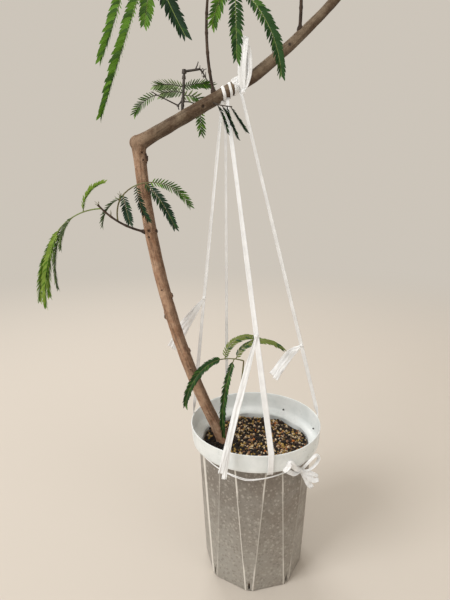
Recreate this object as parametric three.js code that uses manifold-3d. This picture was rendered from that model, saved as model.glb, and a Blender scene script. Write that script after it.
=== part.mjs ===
// A young feather-leaved tree in a tall slit pot, its bent trunk tied to the pot's rim with flat tape.
// Millimetres and degrees, +Z up. The origin is the centre of the pot's flat underside, and the
// plant's best side looks along -Y. Headings are measured from +X toward +Y, rises from the level.

import * as THREE from 'three';
import { mergeVertices } from 'three/addons/utils/BufferGeometryUtils.js';
import Module from 'manifold-3d';

const wasm = await Module();
wasm.setup();

// Driving dimensions
const GAP = 0.3;
const POT = { rim: 120, collarFoot: 117, neck: 105, foot: 94, wall: 2, floor: 3 };
const POT_HEIGHT = { rim: 295, collarFoot: 261, neck: 255 };
const POT_CORNERS = { count: 8, first: -8, topHalf: 14.5, footHalf: 3.8 };
const LEDGE = { root: 4, mouth: 6 };
const BITE = 1;
const SLIT = { width: 3.5, height: 14, sill: 4, depth: 12 };
const SOIL_LEVEL = 250;
const TRUNK = { foot: 11, kink: 9.8, flare: 5, flareHeight: 14, bulge: 2.4, length: 554 };
const ARM = { start: 10.8, end: 9.6, length: 208 };
const LEADER = { start: 9.6, end: 5.6, length: 300 };
const BLADE = { half: 12, rib: 0.9, notch: 1.6, toothPitch: 40, lean: 4 };
const TAPE = { width: 8, thickness: 1, lift: 1 };
const TWINE = { ring: 106.6, height: 251.5, radius: 1 };
const CROWN_FLOOR = { height: 1018, slope: 0.365 };
const OWN_SPACE = 8;

// Finishes: colour, roughness, metalness
const FINISH = {
  plastic: [0xe3e4e2, 0.45, 0],
  soil: [0x5a4632, 0.95, 0],
  bark: [0x7d5f47, 0.85, 0],
  leaf: [0x3f7a2c, 0.6, 0],
  paleLeaf: [0x86a83c, 0.6, 0],
  tape: [0xf2f1ee, 0.5, 0],
};

const group = new THREE.Group();
const rad = THREE.MathUtils.degToRad;
const lerp = THREE.MathUtils.lerp;
const vec = (x, y, z) => new THREE.Vector3(x, y, z);

// Joining and cutting
function solid(geometry) {
  const bare = geometry.clone();
  bare.deleteAttribute('normal');
  bare.deleteAttribute('uv');
  const welded = mergeVertices(bare, 1e-4);
  const vertProperties = new Float32Array(welded.getAttribute('position').array);
  const triVerts = new Uint32Array(welded.index.array);
  return new wasm.Manifold(new wasm.Mesh({ numProp: 3, vertProperties, triVerts }));
}

function addNode(name, body, finish) {
  const { vertProperties, triVerts } = body.getMesh();
  const geometry = new THREE.BufferGeometry();
  geometry.setAttribute('position', new THREE.BufferAttribute(vertProperties, 3));
  geometry.setIndex(new THREE.BufferAttribute(triVerts, 1));
  geometry.computeVertexNormals();
  const [color, roughness, metalness] = FINISH[finish];
  const mesh = new THREE.Mesh(geometry, new THREE.MeshStandardMaterial({ color, roughness, metalness }));
  mesh.name = name;
  group.add(mesh);
}

const fuse = (bodies) => bodies.reduce((whole, body) => whole.add(body));
const cutBy = (body, cutters) => cutters.reduce((rest, cutter) => rest.subtract(cutter), body);

// A closed sleeve: place(step, side) puts each vertex of a capped cylinder, side null on its axis
function sleeve(steps, sides, place) {
  const geometry = new THREE.CylinderGeometry(1, 1, 1, sides, steps);
  geometry.deleteAttribute('normal');
  geometry.deleteAttribute('uv');
  const welded = mergeVertices(geometry, 1e-4);
  const position = welded.getAttribute('position');
  for (let i = 0; i < position.count; i++) {
    const v = vec().fromBufferAttribute(position, i);
    const step = Math.round((v.y + 0.5) * steps);
    const turn = Math.atan2(v.x, v.z) / (2 * Math.PI);
    const side = Math.hypot(v.x, v.z) < 0.5 ? null : (Math.round(turn * sides) + sides) % sides;
    const point = place(step, side);
    position.setXYZ(i, point.x, point.y, point.z);
  }
  return solid(welded);
}

// Paths of 24 equal steps
const STEPS = 24;

// The rise, and the heading by swing, change evenly along the length
function walk(start, heading, rise, turn, length, swing = 0) {
  const points = [start.clone()];
  for (let i = 0; i < STEPS; i++) {
    const s = (i + 0.5) / STEPS;
    const h = rad(heading + swing * s);
    const e = rad(rise + turn * s);
    const step = vec(Math.cos(h) * Math.cos(e), Math.sin(h) * Math.cos(e), Math.sin(e));
    points.push(points[i].clone().addScaledVector(step, length / STEPS));
  }
  return points;
}

// One bend from a to b, pulled toward via
function bend(a, via, b) {
  return new THREE.QuadraticBezierCurve3(a, via, b).getPoints(STEPS);
}

function at(path, t) {
  const place = Math.min(Math.max(t, 0), 1) * (path.length - 1);
  const i = Math.min(Math.floor(place), path.length - 2);
  return path[i].clone().lerp(path[i + 1], place - i);
}

function tangent(path, t) {
  const reach = 0.5 / (path.length - 1);
  return at(path, t + reach).sub(at(path, t - reach)).normalize();
}

// Round limb: radius(t, angle) along a path, on frames that turn as little as they can
function limb(path, radius, { sides = 10, steps = 12, ends = [null, null] } = {}) {
  const frames = [];
  let side = vec(0, 1, 0);
  for (let i = 0; i <= steps; i++) {
    const t = i / steps;
    const along = (i === 0 && ends[0]) || (i === steps && ends[1]) || tangent(path, t);
    side = side.clone().addScaledVector(along, -side.dot(along));
    if (side.length() < 0.2) side = vec(1, 0, 0).addScaledVector(along, -along.x);
    side.normalize();
    frames.push({ t, centre: at(path, t), side, up: side.clone().cross(along) });
  }
  return sleeve(steps, sides, (step, k) => {
    const { t, centre, side: u, up: v } = frames[step];
    if (k === null) return centre.clone();
    const angle = 2 * Math.PI * k / sides;
    const r = radius(t, angle);
    return centre.clone().addScaledVector(u, r * Math.sin(angle)).addScaledVector(v, r * Math.cos(angle));
  });
}

const taper = (from, to, extra = 0) => (t) => lerp(from, to, t) + extra;

// Flat band: corners(t, step) gives [across, out, ahead] offsets on a frame that faces one way
function band(path, facing, steps, sides, corners) {
  return sleeve(steps, sides, (step, k) => {
    const t = step / steps;
    const along = tangent(path, t);
    const across = along.clone().cross(facing).normalize();
    const out = across.clone().cross(along);
    const centre = at(path, t);
    if (k === null) return centre;
    const [u, v, w] = corners(t, step)[k];
    return centre.addScaledVector(across, u).addScaledVector(out, v).addScaledVector(along, w);
  });
}

const tapeCorners = (width, thickness) => [
  [width / 2, thickness / 2, 0],
  [width / 2, -thickness / 2, 0],
  [-width / 2, -thickness / 2, 0],
  [-width / 2, thickness / 2, 0],
];

// Pot: eight narrow wedges that widen upward between eight flats, a ledge and a round collar. A bite
// is how far joined pieces reach into each other, and a cutter past what it cuts.
function potPoint(k, height, inset) {
  const rise = height / POT_HEIGHT.neck;
  const corner = Math.floor(k / 2) * 360 / POT_CORNERS.count + POT_CORNERS.first;
  const half = lerp(POT_CORNERS.footHalf, POT_CORNERS.topHalf, rise);
  const angle = rad(corner + (k % 2 ? half : -half));
  const radius = lerp(POT.foot, POT.neck, rise) - inset;
  return vec(radius * Math.sin(angle), -radius * Math.cos(angle), height);
}

function potBody(from, to, inset) {
  const heights = [from, to];
  return sleeve(1, 2 * POT_CORNERS.count, (step, k) => {
    if (k === null) return vec(0, 0, heights[step]);
    return potPoint(k, heights[step], inset);
  });
}

function turned(profile) {
  const shape = new THREE.LatheGeometry(profile.map(([r, z]) => new THREE.Vector2(r, z)), 40);
  return solid(shape.rotateX(Math.PI / 2));
}

function pot() {
  const { rim, collarFoot, neck } = POT_HEIGHT;
  const root = POT.neck - LEDGE.root;
  const mouth = POT.neck - LEDGE.mouth;
  const collar = turned([[0, neck - BITE], [root, neck - BITE], [POT.collarFoot, collarFoot],
    [POT.rim, rim], [0, rim]]);
  const opening = turned([[0, neck - 2 * BITE], [mouth, neck - 2 * BITE], [mouth, neck + 2 * BITE],
    [POT.collarFoot - POT.wall, collarFoot + POT.wall], [POT.rim - POT.wall, rim + BITE], [0, rim + BITE]]);
  const inside = potBody(POT.floor, neck + BITE, POT.wall);
  const shell = cutBy(potBody(0, neck, 0).add(collar), [opening, inside]);
  const slits = [];
  for (let i = 0; i < POT_CORNERS.count; i++) {
    const cutter = new THREE.BoxGeometry(SLIT.width, SLIT.depth, SLIT.height);
    cutter.translate(0, -POT.foot + BITE, SLIT.sill + SLIT.height / 2);
    cutter.rotateZ(rad(i * 360 / POT_CORNERS.count + POT_CORNERS.first));
    slits.push(solid(cutter));
  }
  return cutBy(shell, slits);
}

addNode('pot', pot(), 'plastic');
addNode('soil', potBody(POT.floor + GAP, SOIL_LEVEL, POT.wall + GAP), 'soil');

// Trunk, arm and leader: one stem with a sharp kink, parted at the kink and where it starts to rise
const trunkPath = walk(vec(-59, 7, SOIL_LEVEL + GAP), 196, 64, 23, TRUNK.length);
const armPath = walk(at(trunkPath, 1), 10, 29.5, 0, ARM.length);
const leaderPath = walk(at(armPath, 1), 11, 37, 16, LEADER.length);

const halfway = (before, after) => tangent(before, 1).add(tangent(after, 0)).normalize();
const kinkWay = halfway(trunkPath, armPath);
const riseWay = halfway(armPath, leaderPath);
const shifted = (path, from, way, distance) => path.map((point, i) =>
  (i === from ? point.clone().addScaledVector(way, distance) : point));

function trunkRadius(extra) {
  return (t, angle) => {
    const height = t * TRUNK.length;
    const lobes = 1 + 0.35 * Math.cos(3 * angle + 0.6);
    const flare = TRUNK.flare * Math.exp(-height / TRUNK.flareHeight) * lobes;
    const bulge = TRUNK.bulge * Math.exp(-(((1 - t) * TRUNK.length / 16) ** 2));
    return lerp(TRUNK.foot, TRUNK.kink, t) + flare + bulge + extra;
  };
}

function armRadius(extra) {
  return (t) => {
    const bulge = TRUNK.bulge * Math.exp(-((t * ARM.length / 14) ** 2));
    return lerp(ARM.start, ARM.end, t) + bulge + extra;
  };
}

const leaderRadius = (extra) => taper(LEADER.start, LEADER.end, extra);

function trunkBody(extra) {
  const path = shifted(trunkPath, STEPS, kinkWay, -GAP / 2);
  return limb(path, trunkRadius(extra), { sides: 12, steps: 14, ends: [vec(0, 0, 1), kinkWay] });
}

function armBody(extra) {
  const path = shifted(shifted(armPath, 0, kinkWay, GAP / 2), STEPS, riseWay, -GAP / 2);
  return limb(path, armRadius(extra), { steps: 8, ends: [kinkWay, riseWay] });
}

function leaderBody(extra) {
  const lifted = shifted(leaderPath, 0, riseWay, GAP / 2);
  const path = shifted(lifted, STEPS, tangent(leaderPath, 1), extra);
  return limb(path, leaderRadius(extra), { steps: 10, ends: [riseWay, null] });
}

// Short stubs of cut side shoots, square to the stem: place along it, heading, radius
function stubs(path, radius, list) {
  return list.map(([t, heading, size]) => {
    const base = at(path, t);
    const tip = walk(base, heading, 15, 0, radius(t, 0) + size);
    return limb(tip, taper(size * 1.2, size * 0.8), { sides: 6, steps: 1 });
  });
}

const trunkStubs = [[0.36, -10, 3], [0.48, 200, 4], [0.55, -5, 3], [0.75, -30, 3.5], [0.955, -25, 4.5]];
const armStubs = [[0.56, -80, 3.5]];
const leaderStubs = [[0.23, -70, 3]];

const trunk = fuse([trunkBody(0), ...stubs(trunkPath, trunkRadius(0), trunkStubs)]);
const arm = fuse([armBody(0), ...stubs(armPath, armRadius(0), armStubs)]);
addNode('trunk', trunk, 'bark');
addNode('arm', arm, 'bark');
addNode('leader', fuse([leaderBody(0), ...stubs(leaderPath, leaderRadius(0), leaderStubs)]), 'bark');

// Keep-outs: the stems grown by the gap, which all that they carry is cut back to
const trunkKeep = trunkBody(GAP);
const armKeep = armBody(GAP);
const leaderKeep = leaderBody(GAP);

// Boughs: each leaves the axis of its parent and is cut back to its skin
const BOUGHS = {
  low_twig: { path: walk(at(trunkPath, 0.75), 191, 8, 42, 95), from: 2.8, to: 1.8, keep: trunkKeep },
  front_bough: { path: walk(at(armPath, 0.667), 165, 75, 34, 228), from: 3.2, to: 2, keep: armKeep },
  mid_bough: { path: walk(at(leaderPath, 0.318), 180, 94, -26, 260), from: 3.2, to: 2, keep: leaderKeep },
  left_bough: { path: walk(at(leaderPath, 0.72), 168, 52, -8, 250), from: 4.6, to: 2.4, keep: leaderKeep },
  right_bough: { path: walk(at(leaderPath, 0.86), -22, 40, -4, 230), from: 4.4, to: 2.4, keep: leaderKeep },
  top_bough: { path: walk(at(leaderPath, 1), 62, 74, -10, 190), from: 5.4, to: 2.6, keep: leaderKeep },
};

function boughBody({ path, from, to, keep }, extra = 0) {
  const reached = shifted(path, STEPS, tangent(path, 1), extra);
  return cutBy(limb(reached, taper(from, to, extra), { sides: 8, steps: 6 }), [keep]);
}

for (const [name, bough] of Object.entries(BOUGHS)) addNode(name, boughBody(bough), 'bark');

// Growth plans: a mass of foliage is a list of stems and a list of pinnae, the feathered side leaves
function plan() {
  const stems = [];
  const pinnae = [];
  const stem = (path, from, to) => {
    stems.push({ path, from, to });
    return path;
  };
  const pinna = (path, facing, open = 1) => pinnae.push({ path, facing, open });
  return { stems, pinnae, stem, pinna };
}

// Tooth length along a pinna: short at the root, longest toward the tip
const fullness = (t) => 0.55 + 0.45 * Math.sin(Math.PI / 2 * Math.min(1, t / 0.7));

function pathLength(path) {
  return at(path, 0).distanceTo(at(path, 0.5)) + at(path, 0.5).distanceTo(at(path, 1));
}

// Thin roof-shaped blade cut to its rib between teeth, in place of the leaflets
function pinnaBody({ path, facing, open }) {
  const teeth = Math.max(2, Math.round(pathLength(path) / BLADE.toothPitch));
  return band(path, facing, 2 * teeth, 3, (t, step) => {
    const tip = step % 2 === 1;
    const half = tip ? BLADE.half * fullness(t) * open : BLADE.notch;
    const lean = tip ? BLADE.lean : 0;
    const rib = BLADE.rib * (t < 1 ? 1 : 0.5);
    return [[0, rib, 0], [half, -rib, lean], [-half, -rib, lean]];
  });
}

function stemBody({ path, from, to }) {
  return limb(path, taper(from, to), { sides: 3, steps: 3 });
}

function massBody({ stems, pinnae }, keeps) {
  return cutBy(fuse([...stems.map(stemBody), ...pinnae.map(pinnaBody)]), keeps);
}

// The way that the upper sides of the leaves in front face
const FRONT = vec(0.1, -0.9, 0.42).normalize();

// Low leaves on the twig under the kink: a half-closed one to the left and an open one in front
function lowLeftLeaf() {
  const grow = plan();
  const twig = BOUGHS.low_twig.path;
  const stalk = grow.stem(walk(at(twig, 0.917), 190, -1, -49, 76), 1.4, 1.1);
  const half = 0.5;
  grow.pinna(walk(at(stalk, 0.375), -10, 88, -80, 65), FRONT, half);
  grow.pinna(walk(at(stalk, 0.625), 200, -47, -41, 57), FRONT, 0.35);
  grow.pinna(walk(at(stalk, 0.792), 169, -55, -46, 115), FRONT, half);
  grow.pinna(walk(at(stalk, 1), 200, -56, -31, 122), FRONT, half);
  grow.pinna(walk(at(stalk, 1), 217, -60, -32, 128), FRONT, 0.7);
  return grow;
}

function lowFrontLeaf() {
  const grow = plan();
  const twig = BOUGHS.low_twig.path;
  const rise = grow.stem(walk(at(twig, 0.583), -38, 103, -61, 42), 1.4, 1.2);
  const stalk = grow.stem(walk(at(rise, 1), -12, 49, -48, 53), 1.2, 1);
  grow.pinna(walk(at(stalk, 0.083), -60, -65, 14, 54), FRONT);
  grow.pinna(walk(at(stalk, 0.583), -47, -84, 51, 67), FRONT);
  grow.pinna(walk(at(stalk, 0.875), -21, -40, -28, 87), FRONT, 0.8);
  grow.pinna(walk(at(stalk, 1), 10, 3, -68, 79), FRONT);
  grow.pinna(walk(at(rise, 0.917), 165, -15, -72, 64), FRONT, 0.4);
  return grow;
}

// Pale spray behind the arm, on a knobby twig with a dead hooked tip
function midSpray() {
  const grow = plan();
  const stub = grow.stem(walk(at(armPath, 0.375), 84, 62, 14, 79), 2.2, 1.4);
  grow.stem(walk(at(stub, 1), -5, 16, -6, 21), 1.4, 1);
  const twig = grow.stem(walk(at(stub, 0.417), 196, -19, 52, 53), 1.4, 1);
  const drop = grow.stem(bend(at(stub, 0.36), vec(-108, 14, 854), vec(-97, 10, 840)), 1.2, 1);
  grow.pinna(walk(at(twig, 1), 160, -17, -43, 47), FRONT);
  grow.pinna(walk(at(stub, 0.625), 174, 40, -73, 46), FRONT, 0.8);
  grow.pinna(walk(at(stub, 0.542), 180, 34, -77, 38), FRONT, 0.6);
  grow.pinna(walk(at(stub, 0.625), 0, 42, -70, 46), FRONT, 0.8);
  grow.pinna(walk(at(drop, 1), -60, -84, 0, 40), FRONT, 0.8);
  return grow;
}

// Small dark closed leaf under the arm, beside the tape
function underLeaf() {
  const grow = plan();
  const root = at(armPath, 0.64);
  const stalk = grow.stem(bend(root, vec(-76, -36, 838), vec(-46, -34, 836)), 1.3, 1);
  const closed = 0.42;
  [[0.5, -21, -59, -19, 46], [0.7, -20, -59, -8, 55], [0.96, -10, -60, 7, 45], [0.86, -35, -80, 10, 30]]
    .forEach(([t, heading, rise, turn, length]) => {
      grow.pinna(walk(at(stalk, t), heading, rise, turn, length), FRONT, closed);
    });
  return grow;
}

// Shoot from the trunk's foot with one large leaf
function footShoot() {
  const grow = plan();
  const shoot = grow.stem(walk(vec(-47, 11, SOIL_LEVEL + 3), 0, 76, 10, 157), 2.2, 1.6);
  const stalk = grow.stem(walk(at(shoot, 1), 190, 22, -27, 41), 1.4, 1.1);
  grow.pinna(walk(at(stalk, 1), 222, 9, -94, 122), FRONT);
  grow.pinna(walk(at(stalk, 0.875), -2, 91, -123, 92), FRONT);
  grow.pinna(walk(at(stalk, 0.375), -17, 76, -119, 112), FRONT);
  grow.pinna(walk(at(stalk, 0.458), 240, -45, -60, 153), FRONT, 0.9);
  return grow;
}

// Seeded numbers for the crown: a linear congruential row
function seeded(seed) {
  let state = seed;
  return (low, high) => {
    state = (Math.imul(state, 1664525) + 1013904223) >>> 0;
    return low + (high - low) * state / 2 ** 32;
  };
}

// What a crown leaf must clear: balls along the limbs and along the leaves of other masses
const occupied = [];

function occupy(path, radius, owner, leaf = null) {
  for (let i = 0; i <= STEPS; i += 2) occupied.push({ point: path[i], radius, owner, leaf });
}

function isFree(path, radius, owner, leaf) {
  return path.every((point, i) => {
    if (point.z < CROWN_FLOOR.height + CROWN_FLOOR.slope * point.y) return false;
    if (i % 2 === 1 || i < 4) return true;
    return occupied.every((ball) => {
      const own = ball.owner === owner;
      if (own && (ball.leaf === leaf || i < 10)) return true;
      return ball.point.distanceTo(point) > (own ? OWN_SPACE : ball.radius + radius);
    });
  });
}

for (const path of [armPath, leaderPath]) occupy(path, 10, 'stem');
for (const [name, bough] of Object.entries(BOUGHS)) occupy(bough.path, 4, name);

// One feathered leaf: a stalk with pairs of drooping pinnae, the last pair the longest
function featherLeaf(grow, owner, leaf, base, heading, rise, size, pairs, random) {
  const stalk = walk(base, heading, rise, -35, size * 0.62);
  const fitting = [];
  for (let pair = 1; pair <= pairs; pair++) {
    const root = at(stalk, 0.4 + 0.58 * pair / pairs);
    const length = size * (0.5 + 0.5 * pair / pairs);
    const spread = 74 - 42 * pair / pairs;
    for (const side of [-1, 1]) {
      const turn = random(-100, -75);
      const path = walk(root, heading + side * spread, rise - 8 + random(-8, 8), turn, length, side * -18);
      if (isFree(path, BLADE.half, owner, leaf)) fitting.push(path);
    }
  }
  if (fitting.length === 0 || !isFree(stalk, 2, owner, leaf)) return;
  grow.stem(stalk, 1.5, 1);
  for (const path of fitting) {
    const facing = vec(Math.cos(rad(heading)), Math.sin(rad(heading)), 1.6).normalize();
    grow.pinna(path, facing);
    occupy(path, BLADE.half, owner, leaf);
  }
}

// A crown mass: one twig with leaves set round it by the golden angle
const GOLDEN_ANGLE = 137.5;

function crownMass(owner, twig, heading, leaves, seed) {
  const grow = plan();
  const random = seeded(seed);
  grow.stem(twig, 1.8, 1.3);
  for (let i = 0; i < leaves; i++) {
    const along = 0.25 + 0.74 * i / (leaves - 1);
    const round = i === leaves - 1 ? heading : heading + 100 + GOLDEN_ANGLE * i;
    const size = random(100, 145);
    const pairs = random(0, 1) < 0.8 ? 2 : 3;
    const swing = random(-15, 15);
    featherLeaf(grow, owner, i, at(twig, along), round + swing, random(15, 40), size, pairs, random);
  }
  return grow;
}

// Hanging leaves at the front, each on a long stem from the front bough
function frontLeftLeaves() {
  const grow = plan();
  const rachis = vec(-138, -221, 948);
  const tip = at(BOUGHS.front_bough.path, 0.97);
  const stem = grow.stem(bend(tip, vec(-120, -190, 1105), rachis), 1.8, 1.1);
  const tail = grow.stem(walk(at(stem, 1), 190, -22, -20, 26), 1.1, 1);
  grow.pinna(walk(at(tail, 1), 203, -70, 6, 98), FRONT);
  grow.pinna(walk(at(tail, 0.2), 215, -67, -2, 172), FRONT);
  grow.pinna(walk(at(stem, 0.98), 250, -88, 22, 76), FRONT);
  grow.pinna(walk(at(stem, 0.98), -20, -63, 9, 96), FRONT);
  return grow;
}

function frontRightLeaves() {
  const grow = plan();
  const rachis = vec(-46, -205, 932);
  const side = at(BOUGHS.front_bough.path, 0.9);
  const stem = grow.stem(bend(side, vec(-50, -185, 1085), rachis), 1.8, 1.1);
  grow.pinna(walk(at(stem, 0.98), 200, -43, -39, 60), FRONT);
  grow.pinna(walk(at(stem, 1), -70, -84, -2, 79), FRONT);
  grow.pinna(walk(at(stem, 1), -27, -36, -48, 118), FRONT);
  return grow;
}

const MASSES = [
  ['low_left_leaf', lowLeftLeaf(), [trunkKeep, boughBody(BOUGHS.low_twig, GAP)], 'paleLeaf'],
  ['low_front_leaf', lowFrontLeaf(), [trunkKeep, boughBody(BOUGHS.low_twig, GAP)], 'leaf'],
  ['mid_spray', midSpray(), [armKeep], 'paleLeaf'],
  ['under_leaf', underLeaf(), [armKeep], 'leaf'],
  ['foot_shoot', footShoot(), [trunkKeep], 'leaf'],
  ['front_left_leaves', frontLeftLeaves(), [boughBody(BOUGHS.front_bough, GAP)], 'leaf'],
  ['front_right_leaves', frontRightLeaves(), [boughBody(BOUGHS.front_bough, GAP)], 'leaf'],
];

for (const [name, grown] of MASSES) {
  for (const { path } of grown.pinnae) occupy(path, BLADE.half, name);
  for (const { path } of grown.stems) occupy(path, 3, name);
}

// Crown masses: bough, place along it, then the twig's heading, rise, turn, length, leaves and seed
const CROWN = [
  ['front_top_mass', 'front_bough', 0.8, 135, 70, -40, 80, 3, 11],
  ['mid_mass', 'mid_bough', 0.97, 200, 70, -45, 80, 3, 23],
  ['left_tip_mass', 'left_bough', 0.97, 178, 40, -30, 90, 4, 37],
  ['left_back_mass', 'left_bough', 0.6, 103, 55, -30, 110, 3, 43],
  ['right_tip_mass', 'right_bough', 0.97, -16, 34, -30, 90, 4, 59],
  ['right_front_mass', 'right_bough', 0.55, -80, 60, -40, 110, 3, 67],
  ['top_tip_mass', 'top_bough', 0.97, 80, 66, -30, 90, 4, 73],
  ['top_right_mass', 'top_bough', 0.55, 20, 50, -30, 110, 3, 83],
];

const crownTwig = ([, bough, along, heading, rise, turn, length]) =>
  walk(at(BOUGHS[bough].path, along), heading, rise, turn, length);

for (const row of CROWN) occupy(crownTwig(row), 2, row[0]);

for (const row of CROWN) {
  const [name, bough, , heading, , , , leaves, seed] = row;
  const grown = crownMass(name, crownTwig(row), heading, leaves, seed);
  MASSES.push([name, grown, [boughBody(BOUGHS[bough], GAP)], 'leaf']);
}

for (const [name, grown, keeps, finish] of MASSES) addNode(name, massBody(grown, keeps), finish);

// Tape: a lashing round the arm with a standing bow, four strands down to the pot, three loose tails
const LASH = { from: 0.715, to: 0.91 };

function lashingSleeve(extra) {
  const radius = (t) => armRadius(0)(0.7) + 1.2 + 0.5 * Math.cos(6 * Math.PI * t) + extra;
  const reach = extra / ARM.length;
  const path = [at(armPath, LASH.from - reach), at(armPath, LASH.to + reach)];
  return limb(path, radius, { steps: 6 });
}

function bow() {
  const root = at(armPath, 0.88).add(vec(0, -4, 9));
  const path = bend(root, vec(-28, -13, 905), vec(-28, -12, 941));
  return band(path, vec(0, -1, 0), 6, 4, (t) => {
    const width = 8 + 12 * Math.sin(Math.PI * (0.15 + 0.75 * t));
    return tapeCorners(width, lerp(4, 1.5, t));
  });
}

addNode('tape_lashing', cutBy(lashingSleeve(0).add(bow()), [armKeep]), 'tape');

const around = (angle, radius, height) =>
  vec(radius * Math.sin(rad(angle)), -radius * Math.cos(rad(angle)), height);

// Strands: place on the arm, first point under it, and the angle where each crosses the rim
const STRANDS = [
  ['tape_strand_left', 0.73, vec(-62, -12, 840), -104],
  ['tape_strand_back', 0.76, vec(-56, -6, 840), -154],
  ['tape_strand_front', 0.78, vec(-53, -16, 836), 8.5],
  ['tape_strand_right', 0.885, vec(-31, -12, 857), 98],
];

function strandPath(onArm, top, angle) {
  const lift = TAPE.lift + TAPE.thickness / 2;
  return [
    at(armPath, onArm),
    top,
    around(angle, POT.rim + lift, POT_HEIGHT.rim + 3),
    around(angle, POT.rim + lift, POT_HEIGHT.rim - 2),
    around(angle, POT.collarFoot + lift, POT_HEIGHT.collarFoot - 2),
    around(angle, TWINE.ring + 2 * TWINE.radius, TWINE.height + 1),
  ];
}

function strand([, onArm, top, angle]) {
  const points = strandPath(onArm, top, angle);
  const corners = tapeCorners(TAPE.width, TAPE.thickness);
  return band(points, around(angle, 1, 0), points.length - 1, 4, () => corners);
}

const onStrand = (i, t) => STRANDS[i][2].clone().lerp(
  around(STRANDS[i][3], POT.rim + TAPE.lift + TAPE.thickness / 2, POT_HEIGHT.rim + 3), t);

// A knot is a small lump on its strand; the tail below it widens as it crumples open
function tail(strandIndex, t, points, widths) {
  const knot = onStrand(strandIndex, t);
  const lump = solid(new THREE.SphereGeometry(5, 7, 5).translate(knot.x, knot.y, knot.z));
  const path = new THREE.CatmullRomCurve3([knot, ...points]).getPoints(STEPS);
  const corners = (s) => tapeCorners(lerp(widths[0], widths[1], s), TAPE.thickness);
  const blade = band(path, vec(0.1, -1, 0.2), 6, 4, corners);
  return lump.add(blade);
}

const TAILS = {
  tape_strand_left: tail(0, 0.579, [vec(-134, 20, 474), vec(-160, 30, 426)], [7, 17]),
  tape_strand_front: tail(2, 0.649, [vec(-28, -100, 402), vec(-46, -122, 330), vec(-62, -135, 266)], [8, 11]),
  tape_strand_right: tail(3, 0.749, [vec(50, 14, 412), vec(23, 0, 383)], [7, 13]),
};

const tapeKeeps = [armKeep, lashingSleeve(GAP)];

for (const row of STRANDS) {
  const name = row[0];
  const whole = TAILS[name] ? strand(row).add(TAILS[name]) : strand(row);
  addNode(name, cutBy(whole, tapeKeeps), 'tape');
}

// Twine ring drawn under the collar, with its own small bow at the right front
const BOW_ANGLE = 52;
const BOW_ENDS = [vec(112, -62, 243), vec(90, -86, 216), vec(85, -92, 266)];

function twineRing() {
  const ring = solid(new THREE.TorusGeometry(TWINE.ring, TWINE.radius, 4, 36).translate(0, 0, TWINE.height));
  const loops = BOW_ENDS.map((end) => {
    const root = around(BOW_ANGLE, TWINE.ring, TWINE.height);
    const via = around(BOW_ANGLE, POT.rim + 2, TWINE.height);
    return band(bend(root, via, end), around(BOW_ANGLE, 1, 0), 5, 4, (t) => tapeCorners(lerp(3, 11, t), 1.6));
  });
  return fuse([ring, ...loops]);
}

addNode('twine_ring', twineRing(), 'tape');

export default group;
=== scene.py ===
# A young feather-leaved tree in a tall slit pot, its bent trunk tied to the pot's rim with flat
# tape. Metres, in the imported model's frame: the pot's underside stands at z 0 and the plant's best
# side looks along -Y. Headings run from +X toward +Y and rises from the level, in degrees.

import math

import bmesh
import bpy
import numpy as np
from mathutils import Matrix, Vector, noise


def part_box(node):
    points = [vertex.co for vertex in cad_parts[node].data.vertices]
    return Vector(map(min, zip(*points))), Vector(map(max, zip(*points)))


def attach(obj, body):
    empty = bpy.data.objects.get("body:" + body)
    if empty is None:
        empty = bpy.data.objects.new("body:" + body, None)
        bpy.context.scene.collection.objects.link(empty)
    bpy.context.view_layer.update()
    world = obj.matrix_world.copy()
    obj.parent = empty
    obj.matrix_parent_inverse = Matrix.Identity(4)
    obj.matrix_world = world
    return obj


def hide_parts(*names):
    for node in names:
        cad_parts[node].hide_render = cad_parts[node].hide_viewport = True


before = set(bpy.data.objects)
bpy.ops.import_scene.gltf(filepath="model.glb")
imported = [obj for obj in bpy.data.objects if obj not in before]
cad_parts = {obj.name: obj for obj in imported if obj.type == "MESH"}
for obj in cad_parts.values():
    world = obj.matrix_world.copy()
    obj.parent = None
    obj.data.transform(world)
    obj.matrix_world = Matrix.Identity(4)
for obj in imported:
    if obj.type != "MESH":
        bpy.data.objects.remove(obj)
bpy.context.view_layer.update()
scene = bpy.context.scene


# Camera: it stands a step in front of the plant, about halfway up it, and looks a little down.
# The lens gives the photograph's viewing angle on its long side.
camera_data = bpy.data.cameras.new("camera")
camera_data.lens = 27
camera_data.sensor_width = 36
camera_data.clip_start = 0.02
camera = bpy.data.objects.new("camera", camera_data)
scene.collection.objects.link(camera)
camera.location = (-0.057, -0.767, 0.712)
camera.rotation_euler = (math.radians(90 - 13.65), 0, 0)
scene.camera = camera


# Floor and light: a pale level floor, an even pale surround, and three soft panels. The large one
# stands at the left, where the room's window is.
FLOOR_HALF = 12
FLOOR_COLOUR = (0.60, 0.55, 0.49, 1)
SURROUND = (0.98, 0.90, 0.79, 1)
SURROUND_STRENGTH = 0.62
FADE = (0.9, 3.6)
# A panel: where it stands, what it faces, its size and its power.
PANELS = {
    "window_panel": ((-3.4, -2.4, 3.8), (0.0, 0.0, 0.7), 2.4, 185),
    "fill_panel": ((3.2, -2.8, 2.0), (0.0, 0.0, 0.7), 2.4, 26),
    "back_panel": ((-1.0, 3.4, 3.4), (0.0, 0.0, 0.8), 2.2, 70),
}


def fed(tree, node, **values):
    """Sets a node's named inputs to values, or links them to sockets."""
    for name, value in values.items():
        socket = node.inputs[name.replace("_", " ")]
        if isinstance(value, bpy.types.NodeSocket):
            tree.links.new(value, socket)
        else:
            socket.default_value = value
    return node


def plain_material(name, colour, **settings):
    """A new material, its node tree and its shader, with plain values on the shader's sockets."""
    made = bpy.data.materials.new(name)
    made.use_nodes = True
    tree = made.node_tree
    return made, tree, fed(tree, tree.nodes["Principled BSDF"], Base_Color=colour, **settings)


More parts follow.
